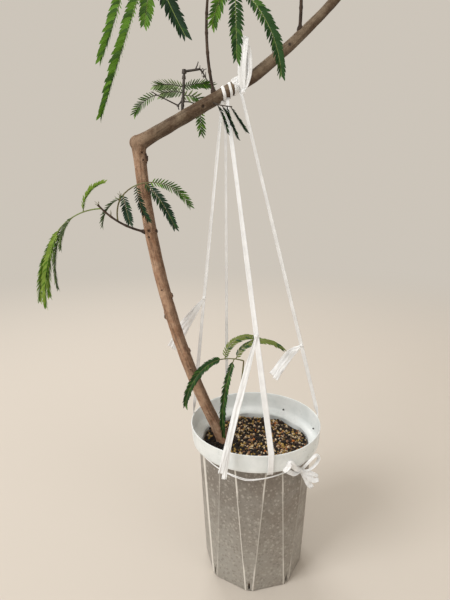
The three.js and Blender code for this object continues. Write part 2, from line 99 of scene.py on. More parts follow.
def ranged(tree, value, low, high, to_low=0.0, to_high=1.0):
    """Maps a value socket from one range to another, smoothly and clamped."""
    node = tree.nodes.new("ShaderNodeMapRange")
    node.interpolation_type = "SMOOTHSTEP"
    fed(tree, node, Value=value, From_Min=low, From_Max=high, To_Min=to_low, To_Max=to_high)
    return node.outputs["Result"]


def object_place(tree):
    return tree.nodes.new("ShaderNodeTexCoord").outputs["Object"]


def floor_paint():
    """Pale paint that takes on the surround's tone far behind the plant, so that no horizon shows."""
    made, tree, shader = plain_material("floor_paint", FLOOR_COLOUR, Roughness=0.75)
    reach = tree.nodes.new("ShaderNodeVectorMath")
    reach.operation = "LENGTH"
    tree.links.new(object_place(tree), reach.inputs[0])
    glow = fed(tree, tree.nodes.new("ShaderNodeEmission"), Color=SURROUND, Strength=SURROUND_STRENGTH)
    join = tree.nodes.new("ShaderNodeMixShader")
    tree.links.new(ranged(tree, reach.outputs["Value"], *FADE), join.inputs["Fac"])
    tree.links.new(shader.outputs[0], join.inputs[1])
    tree.links.new(glow.outputs[0], join.inputs[2])
    tree.links.new(join.outputs[0], tree.nodes["Material Output"].inputs["Surface"])
    return made


floor_mesh = bpy.data.meshes.new("floor")
bm = bmesh.new()
bmesh.ops.create_grid(bm, x_segments=1, y_segments=1, size=FLOOR_HALF)
bm.to_mesh(floor_mesh)
bm.free()
floor = bpy.data.objects.new("floor", floor_mesh)
scene.collection.objects.link(floor)
floor_mesh.materials.append(floor_paint())

world = bpy.data.worlds.new("surround")
world.use_nodes = True
fed(world.node_tree, world.node_tree.nodes["Background"], Color=SURROUND, Strength=SURROUND_STRENGTH)
scene.world = world
scene.view_settings.view_transform = "Standard"

for name, (place, target, size, power) in PANELS.items():
    panel_data = bpy.data.lights.new(name, "AREA")
    panel_data.size = size
    panel_data.energy = power
    panel = bpy.data.objects.new(name, panel_data)
    scene.collection.objects.link(panel)
    panel.location = place
    panel.rotation_euler = (Vector(target) - Vector(place)).to_track_quat("-Z", "Y").to_euler()


# Pot: a tall slit pot of milky polypropylene, thin-walled, with eight wedges that widen upward
# between flats, a raised bead along each fold, a ledge, a round collar and a slit at each foot.
pot_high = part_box("pot")[1]
RIM, RIM_TOP = pot_high.x, pot_high.z
COLLAR_FOOT, COLLAR_FOOT_TOP = 0.117, 0.261
NECK, NECK_TOP, FOOT = 0.105, 0.255, 0.094
WALL, POT_FLOOR = 0.002, 0.003
CORNERS, FIRST_CORNER, TOP_HALF, FOOT_HALF = 8, -8, 14.5, 3.8
WEDGE_STEPS, FLAT_STEPS = 5, 3
BEAD, BEAD_HALF, BEAD_REACH = 0.0005, 0.0008, 0.0021
SLIT = (0.0035, 0.012, 0.014)
SLIT_SILL = 0.004
SOIL_TOP = 0.250


def mix(a, b, t):
    return a + (b - a) * t


def around(angle, radius, height):
    """A point at an angle round the pot, from the front toward the right."""
    turn = math.radians(angle)
    return Vector((radius * math.sin(turn), -radius * math.cos(turn), height))


def sweep(bm, rings):
    """Extrudes a capped ring of points through the other rings."""
    start = bmesh.ops.create_circle(bm, cap_ends=True, segments=len(rings[0]), radius=1)["verts"]
    cap = start[0].link_faces[0]
    for vert, point in zip(cap.verts, rings[0]):
        vert.co = point
    for ring in rings[1:]:
        made = bmesh.ops.extrude_face_region(bm, geom=[cap, *cap.edges])
        cap = next(part for part in made["geom"] if isinstance(part, bmesh.types.BMFace))
        for vert, point in zip(cap.verts, ring):
            vert.co = point


def add_piece(name, mesh, materials, slot, *nodes):
    """Links a finished mesh as a piece of the plant that stands for these nodes."""
    piece = bpy.data.objects.new(name, mesh)
    scene.collection.objects.link(piece)
    for made in materials:
        mesh.materials.append(made)
    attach(piece, "root")
    if nodes:
        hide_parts(*nodes)
    return piece


def smoothed(mesh, smooth=True):
    mesh.polygons.foreach_set("use_smooth", [smooth] * len(mesh.polygons))
    return mesh


def mesh_from(bm, name, smooth=True):
    """Turns a bmesh into a mesh with its faces outward."""
    bmesh.ops.recalc_face_normals(bm, faces=bm.faces)
    mesh = bpy.data.meshes.new(name)
    bm.to_mesh(mesh)
    bm.free()
    return smoothed(mesh, smooth)


def pot_corners(height, inset):
    """The sixteen corners of the pot's eight wedges at a height."""
    rise = height / NECK_TOP
    half = mix(FOOT_HALF, TOP_HALF, rise)
    radius = mix(FOOT, NECK, rise) - inset
    middles = [FIRST_CORNER + k * 360 / CORNERS for k in range(CORNERS)]
    return [around(middle + side * half, radius, height) for middle in middles for side in (-1, 1)]


def pot_ring(height, inset, bead=0.0):
    """A ring of the pot's body: points close to each fold, and even ones between the folds."""
    corners = pot_corners(height, inset)
    ring = []
    for k, corner in enumerate(corners):
        before = (corners[k - 1] - corner).normalized()
        after = (corners[(k + 1) % len(corners)] - corner).normalized()
        out = Vector((corner.x, corner.y, 0)).normalized() * bead
        ring += [corner + before * BEAD_REACH, corner + before * BEAD_HALF + out]
        ring += [corner + after * BEAD_HALF + out, corner + after * BEAD_REACH]
        span = corners[(k + 1) % len(corners)] - corner
        steps = WEDGE_STEPS if k % 2 == 0 else FLAT_STEPS
        ring += [corner + span * ((i + 1) / (steps + 1)) for i in range(steps)]
    return ring


def round_ring(radius, height):
    """A round ring with as many points, at the same angles as the body's ring at the neck."""
    return [Vector((p.x, p.y, 0)).normalized() * radius + Vector((0, 0, height))
            for p in pot_ring(NECK_TOP, 0)]


def pot_shell():
    """The whole shell: up its inside, over the rim, down its outside, and closed underneath."""
    body = [POT_FLOOR + (NECK_TOP - POT_FLOOR - WALL) * i / 12 for i in range(13)]
    inner_collar = [(0.1000, 0.2560), (0.1085, 0.2600), (0.1146, 0.2632), (0.1158, 0.2665),
                    (0.1168, 0.2800), (0.1176, 0.2920), (0.1181, 0.2944)]
    outer_collar = [(0.1189, RIM_TOP), (0.1197, 0.2947), (RIM, 0.2938), (0.1197, 0.2925),
                    (0.1189, 0.2800), (0.1175, 0.2650), (0.1170, 0.2622), (0.1160, 0.2609),
                    (0.1120, 0.2590), (0.1062, 0.2562)]
    rings = [pot_ring(height, WALL) for height in body]
    rings += [round_ring(radius, height) for radius, height in inner_collar + outer_collar]
    rings += [pot_ring(height + 0.0008, 0, BEAD) for height in reversed(body)]
    rings += [pot_ring(0.0012, 0.0004), pot_ring(0.0002, 0.0014), pot_ring(0.0, 0.0030)]
    return rings


def cut_slits(piece):
    """Cuts the eight slits out of the feet of the wedges."""
    bm = bmesh.new()
    for k in range(CORNERS):
        turn = Matrix.Rotation(math.radians(FIRST_CORNER + k * 360 / CORNERS), 4, "Z")
        shift = Matrix.Translation((0, -FOOT + 0.001, SLIT_SILL + SLIT[2] / 2))
        bmesh.ops.create_cube(bm, size=1, matrix=turn @ shift @ Matrix.Diagonal((*SLIT, 1)))
    cutter_mesh = mesh_from(bm, "slit_cutter", smooth=False)
    cutter = bpy.data.objects.new("slit_cutter", cutter_mesh)
    scene.collection.objects.link(cutter)
    cut = piece.modifiers.new("slits", "BOOLEAN")
    cut.object = cutter
    cut.solver = "EXACT"
    finished = applied(piece)
    bpy.data.objects.remove(cutter)
    return finished


def applied(piece):
    """Applies the piece's modifiers to its mesh."""
    graph = bpy.context.evaluated_depsgraph_get()
    finished = bpy.data.meshes.new_from_object(piece.evaluated_get(graph), depsgraph=graph)
    piece.modifiers.clear()
    piece.data = finished
    return finished


def node_group(name, inputs, outputs):
    """An empty shader node group with named sockets; returns it with its two end nodes."""
    made = bpy.data.node_groups.new(name, "ShaderNodeTree")
    kinds = {"colour": "NodeSocketColor", "number": "NodeSocketFloat", "vector": "NodeSocketVector"}
    for socket, kind in inputs.items():
        made.interface.new_socket(name=socket, in_out="INPUT", socket_type=kinds[kind])
    for socket, kind in outputs.items():
        made.interface.new_socket(name=socket, in_out="OUTPUT", socket_type=kinds[kind])
    return made, made.nodes.new("NodeGroupInput"), made.nodes.new("NodeGroupOutput")


def maths(tree, operation, *values):
    """A maths node on values or sockets."""
    node = tree.nodes.new("ShaderNodeMath")
    node.operation = operation
    for socket, value in zip(node.inputs, values):
        if isinstance(value, bpy.types.NodeSocket):
            tree.links.new(value, socket)
        else:
            socket.default_value = value
    return node.outputs[0]


def blended(tree, mask, a, b):
    """Mixes two colours or sockets by a mask socket."""
    node = tree.nodes.new("ShaderNodeMix")
    node.data_type = "RGBA"
    return fed(tree, node, Factor=mask, A=a, B=b).outputs["Result"]


def washed(tree, base, mask, share, colour, low=0, high=1):
    """Lays a colour over a base as a mask runs from low to high, by a share at most."""
    return blended(tree, ranged(tree, mask, low, high, 0, share), base, colour)


def mottle_group():
    """Soft blotches of two colours: Spread sets how hard the change from one to the other is."""
    made, start, end = node_group(
        "mottle",
        {"Place": "vector", "Size": "number", "Spread": "number", "Colour A": "colour",
         "Colour B": "colour"},
        {"Colour": "colour", "Height": "number"})
    blotch = fed(made, made.nodes.new("ShaderNodeTexNoise"), Detail=4, Roughness=0.6)
    given = start.outputs
    fed(made, blotch, Vector=given["Place"], Scale=maths(made, "DIVIDE", 1, given["Size"]))
    low = maths(made, "SUBTRACT", 0.5, given["Spread"])
    height = ranged(made, blotch.outputs["Fac"], low, maths(made, "ADD", 0.5, given["Spread"]))
    fed(made, end, Colour=blended(made, height, given["Colour A"], given["Colour B"]), Height=height)
    return made


MOTTLE = mottle_group()


def mottle(tree, place, size, spread, colour_a=(0, 0, 0, 1), colour_b=(1, 1, 1, 1)):
    """Places the mottle group in a material; colours may be values or sockets."""
    node = tree.nodes.new("ShaderNodeGroup")
    node.node_tree = MOTTLE
    fed(tree, node, Place=place, Size=size, Spread=spread, Colour_A=colour_a, Colour_B=colour_b)
    return node.outputs


def bumped(tree, shader, height, strength, distance):
    """Feeds a height into the shader's normal."""
    node = fed(tree, tree.nodes.new("ShaderNodeBump"), Strength=strength, Distance=distance, Height=height)
    fed(tree, shader, Normal=node.outputs["Normal"])


def attribute(tree, name):
    node = tree.nodes.new("ShaderNodeAttribute")
    node.attribute_name = name
    return node.outputs


def axes(tree, vector):
    return fed(tree, tree.nodes.new("ShaderNodeSeparateXYZ"), Vector=vector).outputs


def drawn_out(tree, vector, share):
    """Shortens a vector's third axis to a share, so that a pattern on it is drawn out that way."""
    return fed(tree, tree.nodes.new("ShaderNodeMapping"), Vector=vector, Scale=(1, 1, share)).outputs[0]


def spots_of(tree, place, size, fill):
    """Soft round spots scattered in cells of one size; fill sets how much of a cell a spot takes."""
    cells = tree.nodes.new("ShaderNodeTexVoronoi")
    cells.feature = "F1"
    fed(tree, cells, Vector=place, Scale=1 / size)
    return ranged(tree, cells.outputs["Distance"], fill, fill * 0.35)


def body_film():
    """Milky film over soil: darker and browner high up, with pale grains pressed against it, its right side
    painted darker and browner as painted shade and a painted reflection, and its folds painted whiter, partly
    as a painted highlight.
    """
    made, tree, shader = plain_material(
        "milky_film", (0.5, 0.48, 0.44, 1), Roughness=0.38, IOR=1.49, Transmission_Weight=0.06)
    place = object_place(tree)
    broad = mottle(tree, place, 0.045, 0.2)["Height"]
    scuffs = mottle(tree, place, 0.02, 0.25)["Height"]
    washes = [
        (axes(tree, place)["Z"], 1, (0.185, 0.162, 0.138, 1), 0.02, 0.235),
        # Painted shade and a painted reflection: the body's right side, away from the window panel, is
        # painted darker and browner.
        (axes(tree, place)["X"], 0.55, (0.225, 0.185, 0.150, 1), -0.06, 0.09),
        (broad, 0.3, (0.36, 0.35, 0.32, 1)),
        (spots_of(tree, place, 0.0068, 0.50), 0.35, (0.13, 0.11, 0.09, 1)),
        (spots_of(tree, place, 0.0085, 0.42), 0.5, (0.46, 0.43, 0.38, 1)),
        (spots_of(tree, place, 0.0050, 0.34), 0.32, (0.50, 0.47, 0.42, 1)),
        # The folds are painted whiter: partly the film's own white where it is thicker along a fold, partly a
        # painted highlight where a fold catches the light.
        (attribute(tree, "fold")["Fac"], 0.9, (0.80, 0.77, 0.71, 1)),
    ]
    colour = (0.335, 0.315, 0.280, 1)
    for wash in washes:
        colour = washed(tree, colour, *wash)
    fed(tree, shader, Base_Color=colour, Roughness=ranged(tree, scuffs, 0, 1, 0.32, 0.5))
    bumped(tree, shader, broad, 0.1, 0.001)
    return made


def collar_film():
    """The empty collar above the soil: plain milky white with a faint haze and rubbed patches."""
    made, tree, shader = plain_material("milky_collar", (0.84, 0.87, 0.87, 1), Roughness=0.34, IOR=1.45)
    place = object_place(tree)
    haze = mottle(tree, place, 0.03, 0.25, (0.69, 0.73, 0.73, 1), (0.81, 0.84, 0.84, 1))
    scuffs = mottle(tree, place, 0.012, 0.25)["Height"]
    fed(tree, shader, Base_Color=haze["Colour"], Roughness=ranged(tree, scuffs, 0, 1, 0.26, 0.44))
    return made


bm = bmesh.new()
sweep(bm, pot_shell())
pot_mesh = mesh_from(bm, "pot_shell")
pot_piece = add_piece("pot_shell", pot_mesh, [body_film(), collar_film()], "pot_plastic", "pot")
pot_mesh = cut_slits(pot_piece)
for face in pot_mesh.polygons:
    inner = face.normal.dot(Vector((face.center.x, face.center.y, 0))) < 0
    face.material_index = 1 if face.center.z > SOIL_TOP - (0.014 if inner else 0) else 0
folds = [corner for height in (0.0, NECK_TOP) for corner in pot_corners(height, 0)]
fold_feet, fold_tops = folds[:2 * CORNERS], folds[2 * CORNERS:]
fold_mark = pot_mesh.attributes.new("fold", "FLOAT", "POINT")
# How white each of the sixteen fold edges is painted: the film's own white plus a painted highlight,
# strongest on the edges that catch the light; one edge gets a wider painted highlight.
FOLD_WHITE_AND_HIGHLIGHT = [0.9, 0.75, 0.7, 0.5] + [0.7] * 10 + [1.0, 0.4]
WIDE_FOLD = 14
for vert in pot_mesh.vertices:
    rise = min(vert.co.z / NECK_TOP, 1)
    offsets = [(foot.lerp(top, rise) - vert.co).length for foot, top in zip(fold_feet, fold_tops)]
    nearest = offsets.index(min(offsets))
    reach = BEAD_REACH + 0.0005 if nearest == WIDE_FOLD else BEAD_HALF + BEAD
    on_body = vert.co.z < NECK_TOP + 0.001
    fold_mark.data[vert.index].value = FOLD_WHITE_AND_HIGHLIGHT[nearest] if on_body and min(offsets) < reach else 0.0


# Soil: a block of loose clay, pumice and bark granules that fills the pot to just under the ledge.
# Its top is a low uneven mound, covered by grains of six colours, and two crumbs lie on the collar.
SOIL_GAP = 0.0006
SOIL_INSET, SOIL_FLOOR = WALL + SOIL_GAP, POT_FLOOR + SOIL_GAP
MOUND_TOP, LUMP_HEIGHT, LUMP_SIZE = SOIL_TOP - 0.0042, 0.0022, 0.03
FOOT_HEIGHT, FOOT_SPREAD = 0.003, 0.024
TRUNK_FOOT = Vector((-0.059, 0.007, 0.2503))
GRAIN_PITCH = 0.0042
GRAIN_SIZES = (0.0020, 0.0036)
GRAIN_KINDS, UPPER_GAPS = 7, 0.55
# Reach and strength of the painted shadow, together with damp soil, that darkens the grains round the trunk's
# foot.
SHADED_REACH, SHADED_SHARE = 0.034, 0.62
STRAY_GRAINS = [(0.0651, 0.0935, 0.2672, 0.0023), (0.1130, 0.0170, 0.2668, 0.0019)]
# Each tone's colour and its share of the grains.
GRAIN_TONES = {
    "grain_black_brown": ((0.014, 0.009, 0.006, 1), 0.42),
    "grain_brown": ((0.055, 0.028, 0.015, 1), 0.18),
    "grain_ochre": ((0.46, 0.29, 0.075, 1), 0.13),
    "grain_cream": ((0.74, 0.58, 0.38, 1), 0.15),
    "grain_tan": ((0.36, 0.19, 0.095, 1), 0.10),
    "grain_orange": ((0.52, 0.17, 0.03, 1), 0.02),
}


def seeded(seed):
    """Seeded numbers: a linear congruential row."""
    state = [seed]

    def draw(low, high):
        state[0] = (state[0] * 1664525 + 1013904223) % 2 ** 32
        return low + (high - low) * state[0] / 2 ** 32

    return draw


def soil_height(x, y):
    """The mound's height: uneven, and higher round the trunk's foot."""
    lump = noise.noise(Vector((x, y, 0)) / LUMP_SIZE) * LUMP_HEIGHT
    off = (x - TRUNK_FOOT.x) ** 2 + (y - TRUNK_FOOT.y) ** 2
    return MOUND_TOP + lump + FOOT_HEIGHT * math.exp(-off / FOOT_SPREAD ** 2)


bm = bmesh.new()
sides = [pot_ring(height, SOIL_INSET) for height in (SOIL_FLOOR, 0.12, SOIL_TOP - 0.010)]
tops = []
for share in (0.995, 0.93, 0.85, 0.75, 0.62, 0.48, 0.33, 0.18, 0.05):
    ring = pot_ring(SOIL_TOP - 0.006, SOIL_INSET)
    tops.append([Vector((p.x * share, p.y * share, soil_height(p.x * share, p.y * share))) for p in ring])
sweep(bm, sides + tops)
soil_mesh = mesh_from(bm, "soil_block")
soil_made, soil_tree, soil_shader = plain_material("soil_fines", (0.05, 0.03, 0.02, 1), Roughness=0.95)
soil_spots = mottle(soil_tree, object_place(soil_tree), 0.004, 0.12,
                    (0.018, 0.012, 0.008, 1), (0.16, 0.10, 0.06, 1))
fed(soil_tree, soil_shader, Base_Color=soil_spots["Colour"])
bumped(soil_tree, soil_shader, soil_spots["Height"], 0.6, 0.001)
add_piece("soil_block", soil_mesh, [soil_made], "soil", "soil")


def joined(name, corner_lists, face_lists, tones, marks=None):
    """One mesh from many small ones, each with its own tone; marks are kept as the blade attribute."""
    mesh = bpy.data.meshes.new(name)
    corners, faces, slots = [], [], []
    for points, outline, tone in zip(corner_lists, face_lists, tones):
        base = len(corners)
        corners.extend(points)
        faces.extend([tuple(base + i for i in face) for face in outline])
        slots.extend([tone] * len(outline))
    mesh.from_pydata(corners, [], faces)
    mesh.polygons.foreach_set("material_index", slots)
    smoothed(mesh)
    if marks:
        blade = mesh.attributes.new("blade", "FLOAT_VECTOR", "POINT")
        blade.data.foreach_set("vector", np.concatenate(marks).ravel())
    mesh.update()
    return mesh


def lump_shapes(count, random):
    """A few uneven lumps of twenty faces."""
    shapes = []
    for _ in range(count):
        bm = bmesh.new()
        bmesh.ops.create_icosphere(bm, subdivisions=1, radius=1)
        for vert in bm.verts:
            vert.co *= random(0.72, 1.2)
        points = np.array([tuple(vert.co) for vert in bm.verts])
        faces = [tuple(vert.index for vert in face.verts) for face in bm.faces]
        bm.free()
        shapes.append((points, faces))
    return shapes


def soil_grains():
    """Two layers of grains on a jittered grid, darker in front of the trunk's foot: partly damp soil, partly
    painted shadow.
    """
    random = seeded(5)
    shapes = lump_shapes(GRAIN_KINDS, random)
    shares = np.cumsum([share for _, share in GRAIN_TONES.values()])
    reach = NECK - WALL - 0.0025
    corners, faces, tones = [], [], []
    rows = int(2 * reach / GRAIN_PITCH)
    for layer in range(2):
        for i in range(rows):
            for j in range(rows):
                x = -reach + (i + random(0, 1)) * GRAIN_PITCH
                y = -reach + (j + random(0, 1)) * GRAIN_PITCH
                size = random(*GRAIN_SIZES) * (1 if layer == 0 else 0.9)
                # More dark grains in front of the trunk's foot: painted shadow, together with damp soil.
                off = (x - TRUNK_FOOT.x + 0.01) ** 2 + (y - TRUNK_FOOT.y + 0.02) ** 2
                lit = 1 - SHADED_SHARE * math.exp(-off / SHADED_REACH ** 2)
                tone = int(np.searchsorted(shares, random(0, 1) * shares[-1] * lit))
                spin = Matrix.Rotation(random(0, math.tau), 3, (random(-1, 1), random(-1, 1), random(-1, 1)))
                angle = math.degrees(math.atan2(x, -y)) - FIRST_CORNER + 180 / CORNERS
                off_middle = math.radians(angle % (360 / CORNERS) - 180 / CORNERS)
                edge = reach * math.cos(math.radians(TOP_HALF)) / max(math.cos(off_middle), 0.9)
                if math.hypot(x, y) > edge - size or (layer == 1 and random(0, 1) < UPPER_GAPS):
                    continue
                stretch = np.array((random(0.8, 1.35), random(0.75, 1.1), random(0.7, 1.0)))
                points, outline = shapes[int(random(0, len(shapes)))]
                placed = (points * stretch * size) @ np.array(spin).T
                lift = soil_height(x, y) + size * (0.35 + 0.9 * layer)
                corners.append(placed + np.array((x, y, lift)))
                faces.append(outline)
                tones.append(tone)
    for x, y, z, size in STRAY_GRAINS:
        corners.append(shapes[0][0] * size + np.array((x, y, z)))
        faces.append(shapes[0][1])
        tones.append(0)
    return joined("soil_grains", corners, faces, tones)


grain_materials = []
for name, (colour, _) in GRAIN_TONES.items():
    made, tree, shader = plain_material(name, colour, Roughness=0.9)
    darker = tuple(channel * 0.55 for channel in colour[:3]) + (1,)
    pores = mottle(tree, object_place(tree), 0.0016, 0.2, darker, colour)
    fed(tree, shader, Base_Color=pores["Colour"])
    bumped(tree, shader, pores["Height"], 0.5, 0.0004)
    grain_materials.append(made)
add_piece("soil_grains", soil_grains(), grain_materials, "soil", "soil")


# Stem: trunk, sharply bent arm and rising leader are one living stem of smooth brown bark, with
# a knobbed kink, cut scars, stubs of lost shoots and fine lengthwise wrinkles.
STEPS = 24
TRUNK_LENGTH, ARM_LENGTH, LEADER_LENGTH = 0.554, 0.208, 0.300
TRUNK_RADII, ARM_RADII, LEADER_RADII = (0.0110, 0.0098), (0.0108, 0.0096), (0.0096, 0.0056)
FLARE, FLARE_HEIGHT = 0.005, 0.014
BULGE, TRUNK_BULGE_REACH, ARM_BULGE_REACH = 0.0016, 0.016, 0.014
STUB_RISE = 15
BARK_SAMPLES = 240
WRINKLE, LUMP, RING = (0.0035, 0.030, 0), (0.011, 0.018, 7), (0.02, 0.0035, 31)


def walk(start, heading, rise, turn, length, swing=0):
    """A path of even steps; the rise, and the heading by swing, change evenly along it."""
    points = [Vector(start)]
    for i in range(STEPS):
        s = (i + 0.5) / STEPS
        h = math.radians(heading + swing * s)
        e = math.radians(rise + turn * s)
        step = Vector((math.cos(h) * math.cos(e), math.sin(h) * math.cos(e), math.sin(e)))
        points.append(points[-1] + step * (length / STEPS))
    return points


def bend(a, via, b):
    """One bend from a to b, pulled toward via."""
    steps = [i / STEPS for i in range(STEPS + 1)]
    return [a * (1 - s) ** 2 + Vector(via) * (2 * s * (1 - s)) + Vector(b) * s ** 2 for s in steps]


def at(path, t):
    place = min(max(t, 0), 1) * (len(path) - 1)
    i = min(int(place), len(path) - 2)
    return path[i].lerp(path[i + 1], place - i)


def tangent(path, t):
    reach = 0.5 / (len(path) - 1)
    return (at(path, t + reach) - at(path, t - reach)).normalized()


def path_length(path):
    return sum((a - b).length for a, b in zip(path, path[1:]))


trunk_path = walk(TRUNK_FOOT, 196, 64, 23, TRUNK_LENGTH)
arm_path = walk(at(trunk_path, 1), 10, 29.5, 0, ARM_LENGTH)
leader_path = walk(at(arm_path, 1), 11, 37, 16, LEADER_LENGTH)


def trunk_radius(t):
    flare = FLARE * math.exp(-t * TRUNK_LENGTH / FLARE_HEIGHT)
    bulge = BULGE * math.exp(-(((1 - t) * TRUNK_LENGTH / TRUNK_BULGE_REACH) ** 2))
    return mix(*TRUNK_RADII, t) + flare + bulge


def arm_radius(t):
    return mix(*ARM_RADII, t) + BULGE * math.exp(-((t * ARM_LENGTH / ARM_BULGE_REACH) ** 2))


def leader_radius(t):
    return mix(*LEADER_RADII, t)


def tubes(name, strands, resolution):
    """One mesh of round tubes; each strand is a list of points with a list of radii."""
    data = bpy.data.curves.new(name, "CURVE")
    data.dimensions = "3D"
    data.bevel_depth = 1
    data.bevel_resolution = resolution
    data.use_fill_caps = True
    for points, radii in strands:
        spline = data.splines.new("POLY")
        spline.points.add(len(points) - 1)
        for place, point, radius in zip(spline.points, points, radii):
            place.co = (*point, 1)
            place.radius = radius
    drawn = bpy.data.objects.new(name, data)
    scene.collection.objects.link(drawn)
    graph = bpy.context.evaluated_depsgraph_get()
    mesh = bpy.data.meshes.new_from_object(drawn.evaluated_get(graph), depsgraph=graph)
    bpy.data.objects.remove(drawn)
    bpy.data.curves.remove(data)
    mesh.name = name
    return smoothed(mesh)


def strand_of(path, radius, count):
    """A strand for tubes(): the path cut into even steps, with radius(t) at each."""
    steps = [i / count for i in range(count + 1)]
    return [at(path, t) for t in steps], [radius(t) for t in steps]


# A stub: its limb, the limb's girth, its place along it, its heading and its size.
STUBS = [
    (trunk_path, trunk_radius, 0.36, -10, 0.0030), (trunk_path, trunk_radius, 0.48, 200, 0.0040),
    (trunk_path, trunk_radius, 0.55, -5, 0.0030), (trunk_path, trunk_radius, 0.75, -30, 0.0035),
    (trunk_path, trunk_radius, 0.955, -25, 0.0045),
    (leader_path, leader_radius, 0.23, -70, 0.0030),
]
stem_strands = [
    ([TRUNK_FOOT - Vector((-0.004, 0, 0.012))] + [at(trunk_path, i / 60) for i in range(61)],
     [0.013] + [trunk_radius(i / 60) for i in range(61)]),
    strand_of(arm_path, arm_radius, 24),
    strand_of(leader_path, leader_radius, 40),
]
scars = []
for path, radius, t, heading, size in STUBS:
    stub = walk(at(path, t), heading, STUB_RISE, 0, radius(t) + size)
    stem_strands.append(strand_of(stub, lambda s, wide=size: mix(1.25, 0.85, s) * wide, 6))
    scars.append((stub[-1], size * 1.1))
kink = at(arm_path, 0)
KNOBS = [(kink + Vector((-0.002, 0, 0.001)), 0.0118), (kink + Vector((-0.0035, -0.001, 0.0035)), 0.0085)]
for centre, radius in KNOBS:
    arc = [centre + Vector((0, 0, radius * math.sin(a))) for a in np.linspace(-1.45, 1.45, 9)]
    girths = [radius * math.cos(a) for a in np.linspace(-1.45, 1.45, 9)]
    stem_strands.append((arc, girths))


def remeshed(piece, voxel, relax):
    """Joins a piece's overlapping tubes into one skin and softens it."""
    skin = piece.modifiers.new("skin", "REMESH")
    skin.mode = "VOXEL"
    skin.voxel_size = voxel
    soft = piece.modifiers.new("soft", "SMOOTH")
    soft.factor = 0.5
    soft.iterations = relax
    return applied(piece)


BATCH = 4000


def bark_places(mesh, limbs):
    """Straightens each point of a mesh along its nearest limb: across, across and along."""
    samples, sides, ups, lengths = [], [], [], []
    run = 0.0
    for path in limbs:
        length = path_length(path)
        for i in range(BARK_SAMPLES + 1):
            t = i / BARK_SAMPLES
            along = tangent(path, t)
            side = Vector((0, 1, 0)) - along * along.y
            side.normalize()
            samples.append(at(path, t))
            sides.append(side)
            ups.append(side.cross(along))
            lengths.append(run + t * length)
        run += length
    samples, sides, ups = (np.array(rows) for rows in (samples, sides, ups))
    lengths = np.array(lengths)
    points = np.zeros(len(mesh.vertices) * 3)
    mesh.vertices.foreach_get("co", points)
    points = points.reshape(-1, 3)
    places = np.zeros_like(points)
    for start in range(0, len(points), BATCH):
        part = points[start:start + BATCH]
        nearest = ((part[:, None, :] - samples[None]) ** 2).sum(2).argmin(1)
        offset = part - samples[nearest]
        places[start:start + BATCH] = np.stack([
            (offset * sides[nearest]).sum(1), (offset * ups[nearest]).sum(1), lengths[nearest]], 1)
    return points, places


def relieve_bark(mesh, limbs, depth, marks=()):
    """Raises wrinkles, lumps, rings and scars, and stores where the bark lies on its limb.

    A noise has a size across the limb, a size along it and a seed.
    """
    points, places = bark_places(mesh, limbs)
    normals = np.zeros(len(mesh.vertices) * 3)
    mesh.vertex_normals.foreach_get("vector", normals)
    normals = normals.reshape(-1, 3)
    shift = np.zeros(len(points))
    hurt = np.zeros(len(points))
    for i, (across, up, along) in enumerate(places):
        wrinkle, lump, ring = (noise.noise(Vector((across / wide, up / wide, along / long + seed)))
                               for wide, long, seed in (WRINKLE, LUMP, RING))
        shift[i] = depth * (0.45 * wrinkle + 0.75 * lump + 0.3 * max(ring, 0))
    for centre, radius in marks:
        distance = np.linalg.norm(points - np.array(centre), axis=1) / radius
        shift += depth * 1.8 * np.exp(-((distance - 1.25) / 0.45) ** 2)
        shift -= depth * 2.2 * np.exp(-(distance / 0.75) ** 2)
        hurt = np.maximum(hurt, np.exp(-(distance / 1.15) ** 4))
    points += normals * shift[:, None]
    mesh.vertices.foreach_set("co", points.ravel())
    grain = mesh.attributes.new("grain", "FLOAT_VECTOR", "POINT")
    grain.data.foreach_set("vector", places.ravel())
    mesh.attributes.new("scar", "FLOAT", "POINT").data.foreach_set("value", hurt)
    mesh.update()


def bark(name, low, high, dark):
    """Bark on its limb's own coordinates: long streaks over soft blotches, dark scars, and painted shade
    along one side of the limb.

    low and high are (light, middle) colours at the plant's foot and above the kink.
    """
    made, tree, shader = plain_material(name, low[1], Roughness=0.8, Specular_IOR_Level=0.3)
    grain = attribute(tree, "grain")["Vector"]
    # The bark is darker above the kink: partly its own darker tone, partly painted shade on the arm and
    # leader.
    above_kink = ranged(tree, axes(tree, grain)["Z"], 0.50, 0.60)
    light = blended(tree, above_kink, low[0], high[0])
    middle = blended(tree, above_kink, low[1], high[1])
    streaks = mottle(tree, drawn_out(tree, grain, 0.07), 0.0030, 0.14)["Height"]
    specks = mottle(tree, grain, 0.0034, 0.08)["Height"]
    pits = mottle(tree, grain, 0.0055, 0.05)["Height"]
    colour = mottle(tree, grain, 0.020, 0.14, middle, light)["Colour"]
    for wash in [
            # Painted shade: the first wash darkens one side of each limb, under the arm and on the trunk's
            # right, away from the window panel.
            (axes(tree, grain)["Y"], 0.55, dark, 0.002, 0.009), (streaks, 0.42, dark, 0.5, 0),
            (specks, 0.22, light, 0.7, 1), (pits, 0.16, dark, 0.2, 0),
            (attribute(tree, "scar")["Fac"], 0.85, (0.026, 0.015, 0.010, 1), 0.45, 1)]:
        colour = washed(tree, colour, *wash)
    fed(tree, shader, Base_Color=colour)
    bumped(tree, shader, maths(tree, "ADD", streaks, specks), 0.45, 0.0004)
    return made


